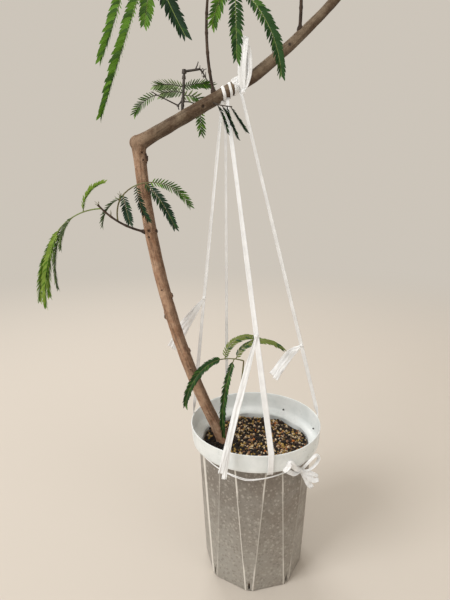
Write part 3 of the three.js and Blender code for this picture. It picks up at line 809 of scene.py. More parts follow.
stem_mesh = tubes("stem_bark", stem_strands, resolution=8)
stem_bark = bark("stem_brown", ((0.46, 0.300, 0.200, 1), (0.30, 0.165, 0.098, 1)),
                 ((0.215, 0.160, 0.108, 1), (0.100, 0.062, 0.036, 1)), (0.036, 0.020, 0.012, 1))
stem_piece = add_piece("stem_bark", stem_mesh, [stem_bark], "bark", "trunk", "arm", "leader")
stem_mesh = remeshed(stem_piece, 0.0013, 4)
scars += [
    (at(trunk_path, 0.968) + Vector((0.0098, -0.0040, 0)), 0.0030),
    (at(trunk_path, 0.950) + Vector((0.0102, -0.0030, 0)), 0.0024),
    (at(trunk_path, 0.757) + Vector((-0.0010, -0.0098, 0)), 0.0030),
    (at(trunk_path, 0.738) + Vector((-0.0030, -0.0094, 0)), 0.0020),
    (at(trunk_path, 0.975) + Vector((0.0060, -0.0092, 0)), 0.0022),
    (at(trunk_path, 0.955) + Vector((0.0065, -0.0085, 0)), 0.0018),
    (at(arm_path, 0.56) + Vector((0.0010, -0.0098, -0.0020)), 0.0030),
    (at(trunk_path, 0.575) + Vector((-0.0020, -0.0098, 0)), 0.0018),
    (at(trunk_path, 0.30) + Vector((0.0020, -0.0100, 0)), 0.0018),
]
relieve_bark(stem_mesh, [trunk_path, arm_path, leader_path], 0.00055, scars)


# Boughs: thin dark shoots with a collar where they leave the stem and a knuckle at each old leaf.
# A bough: its path, and its radius at each end.
BOUGHS = {
    "low_twig": (walk(at(trunk_path, 0.75), 191, 8, 42, 0.095), 0.0021, 0.0015),
    "front_bough": (walk(at(arm_path, 0.667), 165, 75, 34, 0.228), 0.0025, 0.0018),
    "mid_bough": (walk(at(leader_path, 0.318), 180, 94, -26, 0.260), 0.0027, 0.0019),
    "left_bough": (walk(at(leader_path, 0.72), 168, 52, -8, 0.250), 0.0046, 0.0024),
    "right_bough": (walk(at(leader_path, 0.86), -22, 40, -4, 0.230), 0.0044, 0.0024),
    "top_bough": (walk(at(leader_path, 1), 62, 74, -10, 0.190), 0.0054, 0.0026),
}
KNUCKLE_PITCH, KNUCKLE_SWELL, KNUCKLE_HALF = 0.027, 0.22, 0.0022
COLLAR_SWELL, COLLAR_PLACE, COLLAR_HALF = 0.0022, 0.009, 0.0045
BOUGH_STEP = 0.0016
TWIG_TONES = ((0.085, 0.056, 0.038, 1), (0.036, 0.023, 0.016, 1))
twig_bark = bark("twig_dark", TWIG_TONES, TWIG_TONES, (0.012, 0.008, 0.006, 1))


def bough_radius(start, end, length, t):
    along = t * length
    collar = COLLAR_SWELL * math.exp(-((along - COLLAR_PLACE) / COLLAR_HALF) ** 2)
    beat = along % KNUCKLE_PITCH - KNUCKLE_PITCH / 2
    knuckle = KNUCKLE_SWELL * math.exp(-(beat / KNUCKLE_HALF) ** 2)
    return mix(start, end, t) * (1 + knuckle) + collar


for name, (path, start, end) in BOUGHS.items():
    length = path_length(path)
    girth = lambda t: bough_radius(start, end, length, t)
    bough_mesh = tubes(name + "_bark", [strand_of(path, girth, int(length / BOUGH_STEP))], resolution=6)
    relieve_bark(bough_mesh, [path], 0.00022)
    add_piece(name + "_bark", bough_mesh, [twig_bark], "bark", name)


# Leaves: each leaf is a stalk with pairs of pinnae, and each pinna a fine rib with two rows of
# small glossy leaflets that overlap like feathers, the last pair the longest. Masses of leaves
# grow from twigs by one seeded rule that keeps them off each other and off the limbs.
BLADE_HALF = 0.012
LEAFLET_LENGTH = 0.0128
LEAFLET_PITCH = 0.0039
LEAFLET_WIDTH = 0.29
TIP_REACH = 0.007
CLOSED_LEAN, LEAN_SCATTER, SPAN_SCATTER = 13, 5, (0.92, 1.06)
LEAFLET_TILT, LEAFLET_SAG, LEAFLET_HOOK = (-36, -10), (0.04, 0.15), 0.05
OWN_TONE_SHARE = 0.78
RIB_ROOT, RIB_TIP, RIB_FOOT = 0.00065, 0.0003, 0.0006
FRONT = Vector((0.1, -0.9, 0.42)).normalized()
ABOVE = Vector((0.0, -0.55, 0.84)).normalized()
LEVEL = Vector((0.1, -0.97, -0.17)).normalized()
CROWN_FLOOR = (1.018, 0.365)
OWN_SPACE = 0.008
GOLDEN_ANGLE = 137.5
# A leaflet's points along it, across it and up, for a length and a width of one.
LEAFLET = np.array([
    (0.00, -0.22, 0.0), (0.00, 0.20, 0.0),
    (0.14, -0.46, 0.026), (0.14, 0.00, 0.0), (0.14, 0.42, 0.026),
    (0.46, -0.52, 0.034), (0.46, 0.00, 0.0), (0.48, 0.47, 0.034),
    (0.77, -0.34, 0.022), (0.79, 0.02, 0.0), (0.81, 0.31, 0.022),
    (1.00, 0.10, 0.0),
])
LEAFLET_FACES = [(0, 3, 2), (0, 1, 3), (1, 4, 3), (2, 3, 6, 5), (3, 4, 7, 6), (5, 6, 9, 8), (6, 7, 10, 9),
                 (8, 9, 11), (9, 10, 11)]
LEAFLET_BACK_FACES = [tuple(reversed(face)) for face in LEAFLET_FACES]
# Each tone's deep and light colour.
TONES = {
    "leaf_lime": ((0.250, 0.430, 0.055, 1), (0.400, 0.580, 0.110, 1)),
    "leaf_bright": ((0.072, 0.210, 0.010, 1), (0.145, 0.320, 0.026, 1)),
    "leaf_mid": ((0.034, 0.110, 0.014, 1), (0.075, 0.180, 0.028, 1)),
    "leaf_deep": ((0.011, 0.048, 0.010, 1), (0.026, 0.086, 0.017, 1)),
    "leaf_dark": ((0.005, 0.023, 0.010, 1), (0.013, 0.046, 0.019, 1)),
    "leaf_olive": ((0.085, 0.125, 0.018, 1), (0.165, 0.215, 0.042, 1)),
    "leaf_grey": ((0.085, 0.150, 0.065, 1), (0.190, 0.270, 0.140, 1)),
    "leaf_pale": ((0.150, 0.260, 0.085, 1), (0.300, 0.420, 0.180, 1)),
}
TONE_NUMBER = {name: i for i, name in enumerate(TONES)}
NEXT_TONE = {
    "leaf_lime": "leaf_bright", "leaf_bright": "leaf_mid", "leaf_mid": "leaf_bright", "leaf_deep": "leaf_mid",
    "leaf_dark": "leaf_deep", "leaf_olive": "leaf_deep", "leaf_grey": "leaf_pale", "leaf_pale": "leaf_mid",
}


def leaf_material(name, deep, light):
    """Leaf green with a satin shine, darker at the leaflet's root and edges as painted shade where leaflets
    overlap, paler underneath.
    """
    made, tree, shader = plain_material(name, deep, Roughness=0.5, Specular_IOR_Level=0.12)
    place = object_place(tree)
    blade = axes(tree, attribute(tree, "blade")["Vector"])
    across = maths(tree, "ABSOLUTE", blade["Y"])
    shadow = tuple(0.28 * channel for channel in deep[:3]) + (1,)
    pale = tuple(0.85 * channel + 0.012 for channel in light[:3]) + (1,)
    colour = mottle(tree, place, 0.0045, 0.25, deep, light)["Colour"]
    for wash in [
            # Painted shade: the second and third washes darken each leaflet's root and edges, where leaflets
            # overlap.
            (blade["Z"], 0.75, deep), (blade["X"], 0.75, shadow, 0.42, 0),
            (across, 0.85, shadow, 0.5, 1), (across, 0.4, light, 0.14, 0)]:
        colour = washed(tree, colour, *wash)
    back = tree.nodes.new("ShaderNodeNewGeometry").outputs["Backfacing"]
    fed(tree, shader, Base_Color=blended(tree, back, colour, pale))
    bumped(tree, shader, mottle(tree, place, 0.0018, 0.25)["Height"], 0.15, 0.0003)
    return made


leaf_materials = [leaf_material(name, *tones) for name, tones in TONES.items()]


def stalk_material(name, green, brown):
    made, tree, shader = plain_material(name, green, Roughness=0.55)
    fed(tree, shader, Base_Color=mottle(tree, object_place(tree), 0.012, 0.16, green, brown)["Colour"])
    return made


stalk_green = stalk_material("stalk_green", (0.21, 0.30, 0.07, 1), (0.16, 0.19, 0.06, 1))
stalk_brown = stalk_material("stalk_brown", (0.050, 0.036, 0.026, 1), (0.020, 0.014, 0.010, 1))
stalk_olive = stalk_material("stalk_olive", (0.15, 0.17, 0.05, 1), (0.12, 0.085, 0.035, 1))


def plan():
    """A growth plan: stems as (path, start, end) and pinnae as dictionaries."""
    return {"stems": [], "pinnae": []}


def stem(grow, path, start, end):
    grow["stems"].append((path, start, end))
    return path


def pinna(grow, path, facing=FRONT, opened=1.0, tone="leaf_mid", cup=None, roll=0, size=1.0, gap=1.0):
    """Adds a side leaf. opened 0 lays its leaflets forward, cup folds its rows up, roll turns it and
    gap spaces its leaflets."""
    cup = (1 - opened) * 78 if cup is None else cup
    grow["pinnae"].append({"path": path, "facing": facing, "opened": opened, "tone": tone, "cup": cup,
                           "roll": roll, "size": size, "gap": gap})


def side_leaf(grow, stalk, t, heading, rise, turn, length, **form):
    """Adds a pinna that starts at t along a stalk."""
    pinna(grow, walk(at(stalk, t), heading, rise, turn, length), **form)


def knob(grow, centre, radius):
    """A small swelling on a twig."""
    low, high = centre - Vector((0, 0, radius * 0.7)), centre + Vector((0, 0, radius * 0.7))
    stem(grow, [low, centre, high], radius, radius * 0.8)


def leaflet_reach(t):
    """Leaflet length along a pinna: short at the root, longest in the middle."""
    return 0.62 + 0.38 * math.sin(math.pi * t) if t < 0.5 else 1.0 - 0.20 * (2 * t - 1) ** 2


def leaflet_lean(t):
    """A leaflet's angle to its rib, in degrees: wide at the root, nearly straight ahead at the tip."""
    return mix(64, 42, t / 0.5) if t < 0.5 else mix(42, 14, (2 * t - 1) ** 1.7)


def leaflets_of(leaf, random):
    """The two rows of leaflets on a pinna, as lists of points, faces and marks."""
    path = leaf["path"]
    length = path_length(path)
    reach = TIP_REACH * leaf["size"] / length
    pairs = max(5, round(length * (1 - reach) / (LEAFLET_PITCH * leaf["gap"] * leaf["size"] ** 0.5)))
    cup = math.radians(leaf["cup"])
    shapes = []
    for i in range(pairs):
        t = mix(0.05, 1 - reach, i / (pairs - 1))
        along = tangent(path, min(t, 0.98))
        facing = Matrix.Rotation(math.radians(leaf["roll"]), 3, along) @ leaf["facing"]
        across = along.cross(facing).normalized()
        out = across.cross(along)
        for side in (-1, 1):
            lean = mix(CLOSED_LEAN, leaflet_lean(t), min(leaf["opened"], 1))
            lean = math.radians(lean + random(-LEAN_SCATTER, LEAN_SCATTER))
            span = LEAFLET_LENGTH * leaf["size"] * leaflet_reach(t) * random(*SPAN_SCATTER)
            sideways = across * (side * math.cos(cup)) + out * math.sin(cup)
            ahead = (along * math.cos(lean) + sideways * math.sin(lean)).normalized()
            face = (out * math.cos(cup) - across * (side * math.sin(cup))).normalized()
            tilt = random(*LEAFLET_TILT) * side
            face = Matrix.Rotation(math.radians(tilt), 3, ahead) @ face
            wide = face.cross(ahead).normalized()
            up = ahead.cross(wide)
            root = at(path, t - 0.25 / pairs * side)
            points = LEAFLET * np.array((1, LEAFLET_WIDTH * side, 1))
            points[:, 1] += LEAFLET_HOOK * side * points[:, 0] ** 2
            points[:, 2] -= random(*LEAFLET_SAG) * points[:, 0] ** 2
            points *= span
            placed = (points[:, :1] * np.array(ahead) + points[:, 1:2] * np.array(wide)
                      + points[:, 2:] * np.array(up) + np.array(root))
            marks = LEAFLET * np.array((1, 2, 0)) + np.array((0, 0, random(0, 1)))
            shapes.append((placed, LEAFLET_FACES if side > 0 else LEAFLET_BACK_FACES, marks))
    return shapes


def mass_meshes(name, grow, seed):
    """The leaflets of a mass as one mesh, and its twigs, stalks and ribs as another."""
    random = seeded(seed)
    corners, faces, tones, marks, strands = [], [], [], [], []
    for leaf in grow["pinnae"]:
        length = path_length(leaf["path"])
        for points, outline, mark in leaflets_of(leaf, random):
            corners.append(points)
            faces.append(outline)
            marks.append(mark)
            tone = leaf["tone"] if random(0, 1) < OWN_TONE_SHARE else NEXT_TONE[leaf["tone"]]
            tones.append(TONE_NUMBER[tone])
        rib = lambda t: mix(RIB_ROOT, RIB_TIP, t) + RIB_FOOT * math.exp(-(t * length / 0.0025) ** 2)
        strands.append(strand_of(leaf["path"], rib, 14))
    for path, start, end in grow["stems"]:
        strands.append(strand_of(path, lambda t: mix(start, end, t) * 0.9, 18 if len(path) > 3 else 2))
    leaves = joined(name + "_leaves", corners, faces, tones, marks)
    return leaves, tubes(name + "_twigs", strands, resolution=1)


def low_left_leaf():
    """Young leaf to the left of the low twig, half closed and hanging."""
    grow = plan()
    stalk = stem(grow, walk(at(BOUGHS["low_twig"][0], 0.917), 190, -1, -49, 0.076), 0.0014, 0.0011)
    side_leaf(grow, stalk, 0.375, -10, 88, -80, 0.065, opened=0.3, tone="leaf_lime", cup=46)
    side_leaf(grow, stalk, 0.625, 200, -47, -41, 0.057, opened=0.38, tone="leaf_grey", cup=44, size=0.95)
    side_leaf(grow, stalk, 0.792, 169, -55, -46, 0.115, opened=0.38, tone="leaf_grey", cup=46, size=0.95)
    side_leaf(grow, stalk, 0.96, 193, -62, -31, 0.116, opened=0.5, tone="leaf_lime", cup=36,
              size=1.1, gap=0.9)
    side_leaf(grow, stalk, 1, 200, -56, -31, 0.122, opened=0.5, tone="leaf_lime", cup=34, roll=-20,
              size=1.15, gap=0.9)
    side_leaf(grow, stalk, 1, 217, -60, -32, 0.128, opened=0.5, tone="leaf_lime", cup=30, roll=15,
              size=1.15, gap=0.9)
    return grow


def low_front_leaf():
    """Dark open leaf in front of the trunk, above the low twig."""
    grow = plan()
    rise = stem(grow, walk(at(BOUGHS["low_twig"][0], 0.583), -38, 103, -61, 0.042), 0.0015, 0.0013)
    stalk = stem(grow, walk(at(rise, 1), -12, 49, -48, 0.053), 0.0013, 0.0010)
    knob(grow, at(rise, 1), 0.0022)
    side_leaf(grow, stalk, 0.083, -60, -65, 14, 0.054, tone="leaf_dark", cup=12, size=0.9)
    side_leaf(grow, stalk, 0.583, -47, -84, 51, 0.067, tone="leaf_dark", cup=42, roll=-12, size=0.95)
    side_leaf(grow, stalk, 0.875, -21, -40, -28, 0.087, tone="leaf_dark", cup=10)
    side_leaf(grow, stalk, 1, 10, 3, -68, 0.079, facing=LEVEL, tone="leaf_mid", cup=30, roll=-16)
    side_leaf(grow, rise, 0.917, 163, -18, -68, 0.062, opened=0.4, tone="leaf_grey", cup=52)
    random = seeded(31)
    twig = BOUGHS["low_twig"][0]
    for base, count in ((at(rise, 0.96), 5), (at(rise, 0.80), 5), (at(twig, 0.97), 4), (at(twig, 0.72), 3)):
        for _ in range(count):
            tuft = walk(base, random(80, 260), random(20, 110), random(-40, 40), random(0.006, 0.011))
            stem(grow, tuft, 0.0006, 0.0003)
    return grow


def mid_spray():
    """Pale spray behind the arm, on a knobby twig with a dead hooked tip."""
    grow = plan()
    stub = stem(grow, walk(at(arm_path, 0.375), 84, 62, 14, 0.079), 0.0027, 0.0023)
    for t, radius in ((0.30, 0.0032), (0.42, 0.0036), (0.58, 0.0030), (0.74, 0.0031), (0.88, 0.0036),
                      (1, 0.0044)):
        knob(grow, at(stub, t), radius)
    low, outer = Vector((-0.1311, -0.006, 0.8425)), Vector((-0.1623, -0.015, 0.8560))
    stem(grow, bend(at(stub, 0.44), (-0.1255, -0.006, 0.8480), low), 0.0017, 0.0013)
    twig = stem(grow, bend(low, (-0.1470, -0.010, 0.8495), outer), 0.0013, 0.0010)
    knob(grow, low, 0.0024)
    stem(grow, bend(low, (-0.1305, -0.006, 0.839), (-0.1297, -0.005, 0.8360)), 0.0013, 0.0009)
    stem(grow, bend(outer, (-0.167, -0.016, 0.859), (-0.1711, -0.018, 0.8600)), 0.0010, 0.0006)
    hook = stem(grow, bend(at(stub, 1), (-0.104, 0.006, 0.8965), (-0.0965, 0.005, 0.8975)), 0.0023, 0.0019)
    hanging = stem(grow, bend(at(hook, 1), (-0.0915, 0.004, 0.893), (-0.0850, 0.003, 0.8800)), 0.0017, 0.0010)
    stem(grow, bend(at(hook, 0.6), (-0.100, 0.006, 0.903), (-0.0990, 0.006, 0.9085)), 0.0013, 0.0008)
    random = seeded(17)
    for i in range(16):
        heading, rise, turn = random(0, 360), random(-60, 100), random(-90, 90)
        fibre = walk(at(hanging, i / 16), heading, rise, turn, random(0.005, 0.011))
        stem(grow, fibre, 0.0009, 0.0005)
    drop = stem(grow, bend(at(stub, 0.36), (-0.108, 0.014, 0.854), (-0.097, 0.010, 0.840)), 0.0012, 0.001)
    side_leaf(grow, twig, 1, 160, -6, -55, 0.054, facing=LEVEL, tone="leaf_mid", cup=22, size=0.95)
    side_leaf(grow, stub, 0.68, 176, 16, -26, 0.051, facing=LEVEL, tone="leaf_pale", cup=24,
              roll=-26, size=1.15, gap=0.85)
    side_leaf(grow, stub, 0.56, 184, 12, -34, 0.040, facing=LEVEL, tone="leaf_grey", cup=22,
              roll=-22, size=1.1, gap=0.85)
    side_leaf(grow, stub, 0.68, 0, 22, -40, 0.050, facing=LEVEL, tone="leaf_mid", cup=24, roll=24, gap=0.85)
    side_leaf(grow, stub, 0.50, -4, 6, -40, 0.030, facing=LEVEL, tone="leaf_pale", cup=20, roll=18,
              size=1.1)
    side_leaf(grow, drop, 1, -60, -84, 0, 0.042, facing=LEVEL, tone="leaf_mid", cup=14, size=0.95)
    return grow


def under_leaf():
    """Small dark closed leaf under the arm, beside the tape."""
    grow = plan()
    root = at(arm_path, 0.64)
    stalk = stem(grow, bend(root, (-0.076, -0.036, 0.838), (-0.046, -0.034, 0.836)), 0.0011, 0.0008)
    for run in ((0.5, -21, -59, -19, 0.046), (0.7, -20, -59, -8, 0.055), (0.96, -10, -60, 7, 0.045),
                (0.86, -35, -80, 10, 0.030)):
        side_leaf(grow, stalk, *run, opened=0.22, tone="leaf_dark", cup=46, size=0.85)
    return grow


def foot_shoot():
    """Shoot from the trunk's foot with one large leaf."""
    grow = plan()
    shoot = stem(grow, walk((-0.047, 0.011, SOIL_TOP + 0.003), 0, 76, 10, 0.157), 0.0022, 0.0016)
    stalk = stem(grow, walk(at(shoot, 1), 190, 22, -27, 0.041), 0.0014, 0.0011)
    side_leaf(grow, stalk, 1, 222, 9, -94, 0.122, tone="leaf_deep", cup=14, opened=0.65, size=1.1, gap=0.85)
    side_leaf(grow, stalk, 0.875, -2, 91, -123, 0.092, facing=ABOVE, tone="leaf_olive", cup=-22, gap=1.15)
    side_leaf(grow, stalk, 0.375, -17, 76, -119, 0.112, facing=ABOVE, tone="leaf_olive", cup=-24,
              opened=0.85, gap=1.1)
    side_leaf(grow, stalk, 0.458, 240, -45, -60, 0.153, tone="leaf_deep", cup=14, opened=0.5,
              size=1.1, gap=0.85)
    return grow


def front_left_leaves():
    """Long leaf that hangs at the upper left, bright with one dark pinna."""
    grow = plan()
    rachis = (-0.138, -0.221, 0.948)
    tip = at(BOUGHS["front_bough"][0], 0.97)
    stalk = stem(grow, bend(tip, (-0.120, -0.190, 1.105), rachis), 0.0018, 0.0011)
    tail = stem(grow, walk(at(stalk, 1), 190, -22, -20, 0.026), 0.0011, 0.0010)
    side_leaf(grow, tail, 1, 203, -72, 6, 0.096, tone="leaf_bright", cup=30, roll=32, size=1.15)
    start = at(tail, 0.2) + Vector((0.006, 0, 0))
    pinna(grow, walk(start, 213, -68, -1, 0.172), tone="leaf_bright", cup=32, roll=34, size=1.15)
    side_leaf(grow, stalk, 0.98, 250, -88, 22, 0.076, tone="leaf_bright", cup=10)
    side_leaf(grow, stalk, 0.98, -20, -68, 9, 0.093, tone="leaf_dark", cup=8, size=1.15)
    return grow


def front_right_leaves():
    """Hanging leaf in front of the leader."""
    grow = plan()
    rachis = (-0.046, -0.205, 0.932)
    side = at(BOUGHS["front_bough"][0], 0.9)
    stalk = stem(grow, bend(side, (-0.050, -0.185, 1.085), rachis), 0.0018, 0.0011)
    side_leaf(grow, stalk, 0.98, 200, -43, -39, 0.060, tone="leaf_bright", cup=24, roll=-24)
    side_leaf(grow, stalk, 1, -70, -84, -2, 0.079, tone="leaf_deep", cup=8)
    side_leaf(grow, stalk, 1, -27, -36, -48, 0.118, tone="leaf_deep", cup=14)
    return grow


CROWN_TONES = ("leaf_bright", "leaf_mid", "leaf_deep", "leaf_mid")
STEM_ROOM, BOUGH_ROOM, STALK_ROOM, TWIG_ROOM = 0.010, 0.004, 0.003, 0.002
occupied = []


def occupy(path, radius, owner, leaf=None):
    for i in range(0, len(path), 2):
        occupied.append((path[i], radius, owner, leaf))


def is_free(path, radius, owner, leaf):
    """True if a leaf's path stays above the crown's floor and clear of the balls in occupied."""
    for i, point in enumerate(path):
        if point.z < CROWN_FLOOR[0] + CROWN_FLOOR[1] * point.y:
            return False
        if i % 2 == 1 or i < 4:
            continue
        for ball, ball_radius, ball_owner, ball_leaf in occupied:
            own = ball_owner == owner
            if own and (ball_leaf == leaf or i < 10):
                continue
            if (ball - point).length <= (OWN_SPACE if own else ball_radius + radius):
                return False
    return True


def feather_leaf(grow, owner, leaf, base, heading, rise, size, pairs, random):
    """One crown leaf: a stalk with pairs of drooping pinnae, the last pair the longest."""
    stalk = walk(base, heading, rise, -35, size * 0.62)
    fitting = []
    for pair in range(1, pairs + 1):
        root = at(stalk, 0.4 + 0.58 * pair / pairs)
        length = size * (0.5 + 0.5 * pair / pairs)
        spread = 74 - 42 * pair / pairs
        for side in (-1, 1):
            turn = random(-100, -75)
            path = walk(root, heading + side * spread, rise - 8 + random(-8, 8), turn, length, side * -18)
            if is_free(path, BLADE_HALF, owner, leaf):
                fitting.append(path)
    if not fitting or not is_free(stalk, TWIG_ROOM, owner, leaf):
        return
    stem(grow, stalk, 0.0015, 0.001)
    facing = Vector((math.cos(math.radians(heading)), math.sin(math.radians(heading)), 1.6)).normalized()
    tone = CROWN_TONES[(leaf * 3 + len(owner)) % len(CROWN_TONES)]
    for path in fitting:
        pinna(grow, path, facing, tone=tone, cup=12)
        occupy(path, BLADE_HALF, owner, leaf)


def crown_mass(owner, twig, heading, leaves, seed):
    """A crown mass: one twig with leaves set round it by the golden angle."""
    grow = plan()
    random = seeded(seed)
    stem(grow, twig, 0.0018, 0.0013)
    for i in range(leaves):
        along = 0.25 + 0.74 * i / (leaves - 1)
        facing_way = heading if i == leaves - 1 else heading + 100 + GOLDEN_ANGLE * i
        size = random(0.100, 0.145)
        pairs = 2 if random(0, 1) < 0.8 else 3
        swing = random(-15, 15)
        rise = random(15, 40)
        feather_leaf(grow, owner, i, at(twig, along), facing_way + swing, rise, size, pairs, random)
    return grow


# A crown mass: its name, its bough and place on it, its twig's heading, rise, turn and length, the
# number of its leaves and its seed.
CROWN = [
    ("front_top_mass", "front_bough", 0.8, 135, 70, -40, 0.080, 3, 11),
    ("mid_mass", "mid_bough", 0.97, 200, 70, -45, 0.080, 3, 23),
    ("left_tip_mass", "left_bough", 0.97, 178, 40, -30, 0.090, 4, 37),
    ("left_back_mass", "left_bough", 0.6, 103, 55, -30, 0.110, 3, 43),
    ("right_tip_mass", "right_bough", 0.97, -16, 34, -30, 0.090, 4, 59),
    ("right_front_mass", "right_bough", 0.55, -80, 60, -40, 0.110, 3, 67),
    ("top_tip_mass", "top_bough", 0.97, 80, 66, -30, 0.090, 4, 73),
    ("top_right_mass", "top_bough", 0.55, 20, 50, -30, 0.110, 3, 83),
]

masses = {
    "low_left_leaf": low_left_leaf(),
    "low_front_leaf": low_front_leaf(),
    "mid_spray": mid_spray(),
    "under_leaf": under_leaf(),
    "foot_shoot": foot_shoot(),
    "front_left_leaves": front_left_leaves(),
    "front_right_leaves": front_right_leaves(),
}
for path in (arm_path, leader_path):
    occupy(path, STEM_ROOM, "stem")
for name, (path, _, _) in BOUGHS.items():
    occupy(path, BOUGH_ROOM, name)
for name, grow in masses.items():
    for leaf in grow["pinnae"]:
        occupy(leaf["path"], BLADE_HALF, name)
    for path, *_ in grow["stems"]:
        occupy(path, STALK_ROOM, name)
crown_twigs = {}
for name, bough, along, heading, rise, turn, length, leaves, seed in CROWN:
    crown_twigs[name] = walk(at(BOUGHS[bough][0], along), heading, rise, turn, length)
    occupy(crown_twigs[name], TWIG_ROOM, name)
for name, bough, along, heading, rise, turn, length, leaves, seed in CROWN:
    masses[name] = crown_mass(name, crown_twigs[name], heading, leaves, seed)

STALKS = {"mid_spray": stalk_brown, "foot_shoot": stalk_olive, "under_leaf": stalk_brown,
          "low_front_leaf": stalk_olive}
for number, (name, grow) in enumerate(masses.items()):
    leaves_mesh, twigs_mesh = mass_meshes(name, grow, 101 + number)
    add_piece(name + "_leaves", leaves_mesh, leaf_materials, "foliage", name)
    add_piece(name + "_twigs", twigs_mesh, [STALKS.get(name, stalk_green)], "foliage", name)


# Tape: soft white polyethylene film about eight millimetres wide, gathered where it is pulled. A
# few turns lash the arm and end in a standing bow; four strands run taut to the rim, turn over it
# and end under the collar.
TAPE_THICKNESS = 0.0004


def band(path, facing, steps, width, ripple, columns=6):
    """Rings of a thin band: width(t) wide, pushed out by ripple(u, t) across it."""
    rings = []
    for i in range(steps + 1):
        t = i / steps
        along = tangent(path, t)
        way = facing(t) if callable(facing) else facing
        across = along.cross(way).normalized()
        out = across.cross(along)
        centre = at(path, t)
        spots = [u / columns * 2 - 1 for u in range(columns + 1)]
        face = [centre + across * (u * width(t) / 2) + out * ripple(u, t) for u in spots]
        depth = out * TAPE_THICKNESS
        rings.append([p + depth / 2 for p in face] + [p - depth / 2 for p in reversed(face)])
    return rings


def tape_material(name, colour):
    """White film with lengthwise creases and a soft sheen."""
    made, tree, shader = plain_material(name, colour, Roughness=0.42, Sheen_Weight=0.15)
    place = object_place(tree)
    darker = tuple(channel * 0.88 for channel in colour[:3]) + (1,)
    fed(tree, shader, Base_Color=mottle(tree, place, 0.02, 0.2, darker, colour)["Colour"])
    bumped(tree, shader, mottle(tree, drawn_out(tree, place, 0.05), 0.0016, 0.25)["Height"], 0.35, 0.0004)
    return made


tape_white = tape_material("tape_white", (0.92, 0.93, 0.94, 1))


def smooth_path(points, steps):
    """A smooth run through points, as a list of even steps."""
    ends = [points[0] * 2 - points[1]] + list(points) + [points[-1] * 2 - points[-2]]
    run = []
    for i in range(len(points) - 1):
        a, b, c, d = ends[i:i + 4]
        for k in range(steps):
            s = k / steps
            run.append(0.5 * ((2 * b) + (c - a) * s + (2 * a - 5 * b + 4 * c - d) * s ** 2
                              + (3 * b - a - 3 * c + d) * s ** 3))
    return run + [points[-1].copy()]


def creases(*waves):
    """A film's unevenness as a sum of noises; a wave is a height, its pace across and along, a seed."""
    return lambda u, t: sum(height * noise.noise(Vector((u * across, t * along, seed)))
                            for height, across, along, seed in waves)


TURNS = [(0.738, 0.014, 0.0050, 0.0006), (0.795, 0.014, 0.0042, 0.0007), (0.848, 0.022, 0.0070, 0.0008),
         (0.872, 0.012, 0.0080, 0.0013), (0.893, -0.010, 0.0060, 0.0009)]
TURN_STEPS = 40


def lashing():
    """Flat turns round the arm, over one another, each with a middle, slant, width and lift."""
    bm = bmesh.new()
    middle_of_arm = at(arm_path, 0.8)
    along = tangent(arm_path, 0.8)
    side = Vector((0, 1, 0)) - along * along.y
    side.normalize()
    under = side.cross(along)
    for turn, (middle, slant, width, lift) in enumerate(TURNS):
        loop = []
        for i in range(TURN_STEPS + 1):
            angle = math.tau * i / TURN_STEPS
            t = middle - slant * math.sin(angle)
            radius = arm_radius(t) + lift + 0.0004 * math.sin(5 * angle + turn)
            out = side * (radius * math.cos(angle)) + under * (radius * math.sin(angle))
            loop.append(at(arm_path, t) + out)

        def outward(t, loop=loop):
            off = at(loop, t) - middle_of_arm
            return (off - along * off.dot(along)).normalized()

        crease = creases((0.0003, 2.2, 14, turn * 3.1))
        sweep(bm, band(loop, outward, 80, lambda t, wide=width: wide, crease))
    return mesh_from(bm, "lashing_turns")


add_piece("lashing_turns", lashing(), [tape_white], "tape", "tape_lashing")


def ribbon(bm, points, width, facing, crumple, steps):
    """A crumpled band of tape through a few points."""
    sweep(bm, band(smooth_path([Vector(p) for p in points], 10), facing, steps, width, crumple, columns=10))


def knot_lump(bm, place, radius):
    """A small uneven knot."""
    lump = bmesh.ops.create_icosphere(bm, subdivisions=3, radius=radius)["verts"]
    for vert in lump:
        vert.co *= 1 + 0.25 * noise.noise(vert.co / (radius * 0.6))
        vert.co = vert.co + place


def bow_loops():
    """The standing bow: a tall squared loop beside a narrow one, and the wrap that leads up to it."""
    bm = bmesh.new()
    knot = Vector((-0.0285, -0.0165, 0.8600))
    facing = Vector((0.05, -1, 0.2))
    tall = [knot, (-0.0312, -0.0185, 0.876), (-0.0308, -0.0182, 0.904), (-0.0268, -0.0155, 0.9335),
            (-0.0262, -0.0105, 0.9335), (-0.0275, -0.0100, 0.904), (-0.0290, -0.0115, 0.876), knot]
    narrow = [knot, (-0.0225, -0.0180, 0.872), (-0.0185, -0.0175, 0.890), (-0.0190, -0.0150, 0.912),
              (-0.0225, -0.0125, 0.924), (-0.0235, -0.0110, 0.905), (-0.0240, -0.0120, 0.880), knot]
    wrap = [at(arm_path, 0.82) + Vector((-0.001, -0.0085, 0.0070)),
            at(arm_path, 0.86) + Vector((0, -0.0105, 0.0080)),
            (-0.0362, -0.0172, 0.8720), (-0.0330, -0.0182, 0.8850)]

    def tall_width(t):
        rise = 1 - abs(2 * t - 1)
        return 0.005 + 0.0075 * min(1, rise / 0.35) - 0.0035 * max(0, (rise - 0.7) / 0.3)

    uneven = creases((0.0010, 2.6, 7, 5.3))
    folded = lambda u, t: uneven(u, t) - 0.0016 * math.exp(-(u / 0.25) ** 2) * math.sin(math.pi * t)
    soft = creases((0.0009, 2.2, 6, 1.7))
    ribbon(bm, tall, tall_width, facing, folded, 70)
    ribbon(bm, narrow, lambda t: 0.004 + 0.0025 * math.sin(math.pi * t), facing, soft, 60)
    ribbon(bm, wrap, lambda t: 0.0080 - 0.002 * t, facing, soft, 40)
    knot_lump(bm, knot, 0.0040)
    return mesh_from(bm, "lashing_bow")


add_piece("lashing_bow", bow_loops(), [tape_white], "tape", "tape_lashing")

